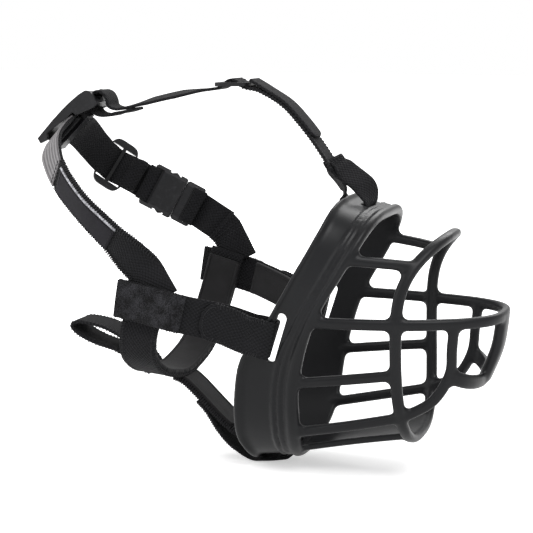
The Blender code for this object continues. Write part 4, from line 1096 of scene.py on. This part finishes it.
def basket_bars():
    parts = [hoop(), bar(nose_stations(), BAR_WIDTH + 0.4, BAR_DEPTH)]
    low = lip_bar_start()
    for side in (-1.0, 1.0):
        for at_band, at_hoop in SIDE_BARS:
            start = band_front(at_band)
            end = Vector((hoop_x(at_hoop), hoop_half_width_at(at_hoop), at_hoop))
            outward = Vector((0.0, side, 0.25 if at_hoop > 0 else -0.3 if at_hoop < -40 else 0.0))
            start, end = (put(p, side < 0.0) for p in (start, end))
            middle = (start + end) / 2.0 + outward * 1.0
            parts.append(bar([(start, outward), (middle, outward), (end, outward)]))
        corner_z = SIDE_BARS[2][1]
        corner = Vector((hoop_x(corner_z), hoop_half_width_at(corner_z), corner_z))
        top_x = low.x + 2.5
        top = Vector((top_x, nose_half_width_at(top_x), nose_ring_z(top_x)))
        bend = (low + corner) / 2.0 + Vector((3.5, 0.0, -2.5))
        run = [put(p, side < 0.0) for p in (top, (top + low) / 2.0, low, bend, corner)]
        parts.append(bar([(p, Vector((0.35, side, 0.0))) for p in run]))
    parts.append(bar(lip_stations(), LIP_BAR_WIDTH, BAR_DEPTH))
    tip = Vector((NOSE_TIP - 0.5, 0.0, NOSE_RING_Z + NOSE_RING_RISE))
    foot = Vector((low.x + LIP_BAR_REACH, 0.0, NOSE_RING_Z - LIP_BAR_DROP - LIP_BAR_SAG))
    belly = (tip + foot) / 2.0 + Vector((2.0, 0.0, 0.0))
    forward = Vector((1.0, 0.0, -0.25))
    parts.append(bar([(tip, forward), (belly, forward), (foot, forward)], FRONT_BAR_WIDTH, FRONT_BAR_DEPTH))
    return parts + [chin_plate()]


def make_basket():
    """The moulded basket: band and bars run together with fillets, then the fine beads."""
    voxel = 0.8
    end = BAND_LENGTH
    plain = ((0.0, -BAND_WALL + 0.6), (0.0, LIP - 0.4), (0.7, LIP), (2.4, LIP), (3.6, 0.0),
             (10.0, 0.0), (end - 5.6, 0.1), (end - 4.4, LIP + 0.6), (end - 2.8, LIP + 1.1),
             (end - 1.0, LIP + 0.6), (end, LIP - 0.6), (end, -BAND_WALL + 0.8),
             (end - 0.8, -BAND_WALL), (14.0, -BAND_WALL), (0.8, -BAND_WALL))
    shell = joined([band_sweep(plain), *basket_bars()])
    for reach in (FILLET, -FILLET):
        modified(shell, "REMESH", mode="VOXEL", voxel_size=voxel)
        pushed(shell, reach)
    beads = [round_bead(end - 10.2, 0.25, 0.95), round_bead(end - 7.6, 0.25, 0.95),
             round_bead(1.6, LIP - 0.35, 1.15)]
    shell = joined([shell, *beads])
    modified(shell, "REMESH", mode="VOXEL", voxel_size=voxel * 0.8)
    modified(shell, "SMOOTH", factor=0.5, iterations=5)
    for cutter in slot_cutters():
        modified(shell, "BOOLEAN", operation="DIFFERENCE", solver="EXACT", object=cutter)
        bpy.data.objects.remove(cutter, do_unlink=True)
    mesh = shell.data
    mesh.name = "basket_moulding"
    mesh.transform(Matrix.Scale(MM, 4))
    mesh.materials.clear()
    obj = linked("basket_moulding", mesh)
    bpy.data.objects.remove(shell, do_unlink=True)
    dressed(obj, RUBBER, "muzzle", "basket")


make_basket()


# ---------------------------------------------------------------- straps
ON_WEB = WEB_THICK / 2.0 + 0.12  # how far stitches lie off the middle of one layer
UNDER_WEB = -(WEB_THICK / 2.0 + GAP + LINING_THICK / 2.0)


def strap(name, node, run, body="muzzle", material=WEB, width=WEB_WIDTH, thick=WEB_THICK, **look):
    bm = bmesh.new()
    add_strip(bm, run, width, thick, **look)
    return make_object(name, bm, material, body, node)


def padding(node, run, width, thick, tape_thick, lift=UNDER_WEB, **look):
    """A padded lining, with a narrow raised tape down each side."""
    pad = strap(f"{node}_padding", node, run, material=LINING, width=width, thick=thick, lift=lift, **look)
    bm = bmesh.new()
    for sign in (1.0, -1.0):
        add_strip(bm, run, 2.0, tape_thick, lift, sign * (width / 2.0 - 1.0), crown=0.25, ease=0.5)
    make_object(node.replace("lining", "binding"), bm, LINING, "muzzle")


def trim(name, build, body="muzzle"):
    """A piece of sewing, made by a function that fills the mesh."""
    bm = bmesh.new()
    build(bm)
    return make_object(name, bm, THREAD, body)


def blend(obj):
    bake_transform(obj)


def make_cheek(side, mirror):
    stations, edge, outer = cheek_stations()
    strap(f"cheek_strap_{side}_webbing", f"cheek_strap_{side}", run_frames(stations, 1.2, mirror=mirror),
          crown=0.12, ripple=0.25, seed=5)
    padding(f"cheek_lining_{side}", run_frames(stations, 1.5, (0.27, 0.62), mirror), WEB_WIDTH - 1.5,
            LINING_THICK + 0.3, LINING_THICK + 0.9, crown=0.35, ease=0.8, ripple=0.2)
    soft = run_frames(stations, 1.2, (0.60, 1.0), mirror)
    strap(f"loop_pile_{side}_pad", f"loop_pile_{side}", soft, material=PILE, width=WEB_WIDTH - 0.6, thick=1.3,
          lift=WEB_THICK / 2.0 + GAP + 0.55, crown=0.25, ease=0.6, ripple=0.5)

    def sewing(bm):
        n = WEB_THICK / 2.0 + 1.35
        total = soft[1][-1]
        for s in (1.6, 3.4, total - 2.2):
            stitch_across(bm, soft, s, 8.6, n)
        for w in (8.6, -8.6):
            stitch_row(bm, soft, 2.0, total - 1.5, w, n)
        overlock(bm, soft, WEB_WIDTH / 2.0, 3.0, lift=0.4)
    trim(f"cheek_sewing_{side}", sewing)
    tab_run = run_frames(tab_stations(), 1.0, mirror=mirror)
    tab = strap(f"cheek_tab_{side}_webbing", f"cheek_tab_{side}", tab_run, body=None,
                crown=0.15, ripple=0.3, seed=9, round_end=6.5)
    blend(tab)

    def tab_sewing(bm):
        frames, places, _ = tab_run
        total = places[-1]
        for k in range(15):
            angle = math.radians(-84.0 + 12.0 * k)
            f = frame_at(tab_run, total - 6.5 + 5.0 * math.cos(angle))
            spot = f.at(0.0, 8.2 * math.sin(angle), WEB_THICK / 2.0 + 0.2)
            along = (f.w * math.cos(angle) - f.u * math.sin(angle) * 0.6).normalized()
            stitch(bm, tab_run, spot, along, along.cross(f.n), f.n, 1.7, 0.28)
        keep = [k for k, p in enumerate(places) if 5.0 < p < total - 5.0]
        first, last = keep[0], keep[-1]
        straight = (frames[first:last], [p - places[first] for p in places[first:last]], mirror)
        overlock(bm, straight, WEB_WIDTH / 2.0, WEB_THICK)
    trim(f"cheek_tab_sewing_{side}", tab_sewing, f"tab_{side}")


def make_lower():
    throat = throat_stations()
    run = run_frames(throat, 1.5)
    strap("throat_strap_webbing", "throat_strap", run, crown=0.15, ripple=0.25)
    pad_run = run_frames(throat, 1.5, (0.02, 0.98))
    padding("throat_lining", pad_run, WEB_WIDTH - 0.6, LINING_THICK + 0.4, LINING_THICK + 1.1,
            UNDER_WEB - 0.1, crown=0.4, ease=0.9, ripple=0.3)

    def sewing(bm):
        overlock(bm, pad_run, WEB_WIDTH / 2.0 - 0.2, LINING_THICK + WEB_THICK + 0.2, lift=-1.0)
        for w in (8.3, -8.3):
            stitch_row(bm, run, 3.0, run[1][-1] - 3.0, w, ON_WEB)
    trim("throat_sewing", sewing)
    chin = [(p, LEFTWARD) for p in chin_path()]
    strap("chin_strap_webbing", "chin_strap", run_frames(chin, 1.2), crown=0.12, ripple=0.2)
    padding("chin_lining", run_frames(chin, 1.2, (0.03, 0.275)), WEB_WIDTH - 1.2, LINING_THICK + 0.2,
            LINING_THICK + 0.9, crown=0.3, ease=0.8)

    def chin_sewing(bm):
        back = run_frames(chin, 1.2, (0.78, 1.0))
        overlock(bm, run_frames(chin, 1.2, (0.0, 0.30)), WEB_WIDTH / 2.0, WEB_THICK + 1.6, lift=-0.6)
        overlock(bm, back, WEB_WIDTH / 2.0, WEB_THICK)
        for s in (3.0, 6.0, 9.0):
            stitch_across(bm, back, back[1][-1] - s, 8.6, -WEB_THICK / 2.0 - 0.15)
    trim("chin_sewing", chin_sewing)
    loop_run = run_frames([(p, LEFTWARD) for p in collar_path()], 1.2)
    strap("collar_loop_webbing", "collar_loop", loop_run, "collar_ring", crown=0.1, ripple=0.25)

    def collar_sewing(bm):
        total = loop_run[1][-1]
        for s in (3.0, 5.5, total - 3.0, total - 5.5):
            for n in (ON_WEB, -ON_WEB):
                stitch_across(bm, loop_run, s, 8.8, n)
        overlock(bm, loop_run, WEB_WIDTH / 2.0, WEB_THICK, pitch=2.0)
    trim("collar_sewing", collar_sewing, "collar_ring")


def split_at(stations, spot):
    """A run cut in two at its frame nearest to a spot, and the share of its length there."""
    frames, places, mirror = run_frames(stations, 0.8)
    k = min(range(len(frames)), key=lambda i: (frames[i].o - spot).length)
    first = (frames[:k + 1], places[:k + 1], mirror)
    second = (frames[k:], [p - places[k] for p in places[k:]], mirror)
    return first, second, places[k] / places[-1]


def make_neck():
    right = right_neck_stations()
    strap("neck_strap_right_webbing", "neck_strap_right", run_frames(right, 1.2), crown=0.15, ripple=0.3, seed=4)
    on_top = WEB_THICK / 2.0 + GAP + PATCH_THICK / 2.0
    patch_run = run_frames(right, 1.2, (0.27, 0.58))
    strap("label_patch_cloth", "label_patch", patch_run, material=PATCH, width=WEB_WIDTH - 4.6, thick=PATCH_THICK,
          lift=on_top - 0.2, aside=-1.6, crown=0.15, ease=0.3)
    strap("reflective_piping_cord", "reflective_piping", patch_run, material=CORD, width=1.6,
          thick=PATCH_THICK + 0.3, lift=on_top, aside=WEB_WIDTH / 2.0 - 2.5, crown=0.2, ease=0.5)
    band_run = run_frames(right, 1.2, (0.60, 0.92))
    strap("reflective_webbing_band", "reflective_webbing", band_run, material=REFLECTIVE, width=WEB_WIDTH - 0.4,
          thick=PATCH_THICK, lift=on_top - 0.2, crown=0.1, ease=0.3)

    def sewing(bm):
        overlock(bm, run_frames(right, 1.2, (0.12, 0.60)), WEB_WIDTH / 2.0, WEB_THICK + 0.8, lift=0.3, seeds=(11, 12))
        n = on_top + 0.35
        total = patch_run[1][-1]
        for s in (1.2, total - 1.2):
            stitch_across(bm, patch_run, s, 7.2, n)
        for w in (5.2, -8.6):
            stitch_row(bm, patch_run, 1.0, total - 1.0, w, n, pitch=2.2, length=1.6, radius=0.22)
        stitch_across(bm, band_run, 1.5, 8.8, n)
    trim("neck_sewing_right", sewing)

    one, two, _ = split_at(left_neck_stations(), GLIDE.at(0.0, 0.0, weave(0.0)))
    rear = strap("neck_strap_left_rear", "neck_strap_left", one, None, crown=0.05)
    front = strap("neck_strap_left_front", None, two, None, crown=0.05)
    blend(rear)
    blend(front)
    back = strap("neck_strap_return_layer", "neck_strap_return", run_frames(return_stations(), 1.0), None,
                 width=WEB_WIDTH - 1.0, crown=0.05)
    blend(back)

    web = run_frames([*JUNCTION_WEB, *bar_turn(MALE_BAR, 1.0)], 0.8)
    web = strap("buckle_web_webbing", "buckle_web", web, None, crown=0.1)
    blend(web)
    for name, bar_u, sign, body in (("rear", FEMALE_BAR, -1.0, "muzzle"), ("front", MALE_BAR, 1.0, "plug")):
        strap(f"buckle_wrap_{name}", None, run_frames(bar_turn(bar_u, sign), 0.5), body,
              width=WEB_WIDTH + 1.2, thick=2.2)
        # painted shade: a dark plastic block fills each buckle slot behind the webbing's turn, standing in for the
        # shade inside the slot
        slot_shade_block = [(BUCKLE.at(bar_u - sign * 3.0, w, 0.0), BUCKLE.u) for w in (-11.2, 0.0, 11.2)]
        strap(f"buckle_packing_{name}", None, run_frames(slot_shade_block, 1.0), body, PLASTIC, 3.6, 4.4)
    fold_run = run_frames(FOLD, 1.0)
    strap("junction_fold_webbing", "junction_fold", fold_run, crown=0.15, ripple=0.3)

    def left_sewing(bm):
        overlock(bm, fold_run, WEB_WIDTH / 2.0, WEB_THICK)
        for s in (2.0, 5.0, 8.0):
            stitch_across(bm, fold_run, s, 8.8, -ON_WEB)
    trim("neck_sewing_left", left_sewing)


def make_crown():
    stations = crown_stations()
    one, two, share = split_at(stations, CROWN_GLIDE.at(0.0, 0.0, weave(0.0)))
    rear = strap("crown_strap_rear", "crown_strap", one, None, width=CROWN_WIDTH, crown=0.08, ripple=0.15)
    front = strap("crown_strap_front", None, two, None, width=CROWN_WIDTH, crown=0.08, ripple=0.15)
    blend(rear)
    blend(front)
    tail = strap("crown_tail_webbing", "crown_tail", run_frames(tail_stations(), 1.0), None, width=CROWN_WIDTH,
                 crown=0.12, ripple=0.3, seed=8, round_end=3.0)
    blend(tail)
    loop_run = run_frames(crown_loop_stations(), 0.9)
    strap("crown_loop_webbing", "crown_loop", loop_run, width=CROWN_WIDTH, crown=0.1)

    def edge_sewing(bm):
        overlock(bm, run_frames(stations, 1.2, (share, 1.0)), CROWN_WIDTH / 2.0, WEB_THICK, pitch=1.8)
    edges = trim("crown_edge_sewing", edge_sewing, None)
    blend(edges)

    def sewing(bm):
        total = loop_run[1][-1]
        for s in (1.2, 3.2):
            for place, n in ((s, ON_WEB), (total - s, ON_WEB), (total - s, -ON_WEB)):
                stitch_across(bm, loop_run, place, 6.4, n)
    trim("crown_sewing", sewing)


def finish_hard_parts():
    for name in ("neck_keeper", "neck_glide", "crown_glide", "buckle_female", "buckle_male",
                 "buckle_prong_upper", "buckle_prong_lower"):
        obj = frame["nodes"][name]
        obj.data.materials.clear()
        obj.data.materials.append(PLASTIC)
        step = obj.modifiers.new("soft_edges", "BEVEL")
        step.width = 0.45 * MM
        step.segments = 3
        step.limit_method = "ANGLE"
        step.angle_limit = math.radians(35.0)
        obj.data.shade_smooth()
        obj.modifiers.new("even_normals", "WEIGHTED_NORMAL").keep_sharp = False


make_cheek("right", False)
make_cheek("left", True)
make_lower()
make_neck()
make_crown()
finish_hard_parts()


# ---------------------------------------------------------------- floor, light, camera
def plain_floor(height):
    """A pale floor that is white to the camera further out and keeps the object's shadow."""
    bm = bmesh.new()
    corners = ((-6.0, -6.0), (6.0, -6.0), (6.0, 6.0), (-6.0, 6.0))
    bm.faces.new([bm.verts.new((x, y, height)) for x, y in corners])
    mesh = bpy.data.meshes.new("floor")
    bm.to_mesh(mesh)
    bm.free()
    m = Nodes("pale_floor", (0.80, 0.80, 0.80), 0.9)
    m.shader.inputs["Specular IOR Level"].default_value = 0.1
    m.shader.inputs["Emission Color"].default_value = (1.0, 1.0, 1.0, 1.0)
    far = m.new("ShaderNodeVectorMath", operation="LENGTH")
    m.link(m.place, far.inputs[0])
    glow = m.ramp(far.outputs["Value"], 0.15, 0.6, 0.50, 1.0)
    m.link(m.times(seen_directly(m.tree), glow), "Emission Strength")
    mesh.materials.append(m.material)
    linked("floor", mesh)


def seen_directly(tree):
    """1 for camera rays and for those of gloss and glass, 0 for light on the object."""
    rays = tree.nodes.new("ShaderNodeLightPath").outputs
    last = rays["Is Camera Ray"]
    for name in ("Is Glossy Ray", "Is Transmission Ray"):
        both = tree.nodes.new("ShaderNodeMath")
        both.operation = "MAXIMUM"
        tree.links.new(last, both.inputs[0])
        tree.links.new(rays[name], both.inputs[1])
        last = both.outputs[0]
    return last


def area_light(name, place, size, power):
    data = bpy.data.lights.new(name, "AREA")
    data.shape = "DISK"
    data.size = size
    data.energy = power
    obj = linked(name, data)
    obj.location = place
    obj.rotation_mode = "QUATERNION"
    obj.rotation_quaternion = (-Vector(place)).to_track_quat("-Z", "Y")


def world_light():
    world = bpy.data.worlds.new("studio")
    bpy.context.scene.world = world
    world.use_nodes = True
    tree = world.node_tree
    back = tree.nodes["Background"]
    back.inputs["Color"].default_value = (1.0, 1.0, 1.0, 1.0)
    level = tree.nodes.new("ShaderNodeMapRange")
    tree.links.new(seen_directly(tree), level.inputs[0])
    level.inputs[3].default_value = 0.62
    level.inputs[4].default_value = 1.0
    tree.links.new(level.outputs[0], back.inputs["Strength"])


def camera():
    data = bpy.data.cameras.new("camera")
    data.sensor_width = 36.0
    data.lens = 36.0 * 1500.0 / 533.0
    data.clip_start = 0.01
    right = Vector((0.9456, 0.3254, 0.0)).normalized()
    forward = Vector((-0.3212, 0.9334, -0.1600)).normalized()
    up = right.cross(forward).normalized()
    turn = Matrix((right, up, -forward)).transposed()
    obj = linked("camera", data)
    obj.matrix_world = Matrix.Translation((0.2318, -0.7487, 0.1524)) @ turn.to_4x4()
    bpy.context.scene.camera = obj


low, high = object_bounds()
plain_floor(low.z - 0.0005)
area_light("key", (0.55, -0.75, 1.15), 0.9, 16.0)
area_light("fill", (-0.9, -0.6, 0.6), 1.1, 6.0)
area_light("rim", (0.1, 0.9, 0.9), 0.9, 9.0)
world_light()
camera()
bpy.context.scene.view_settings.view_transform = "Standard"
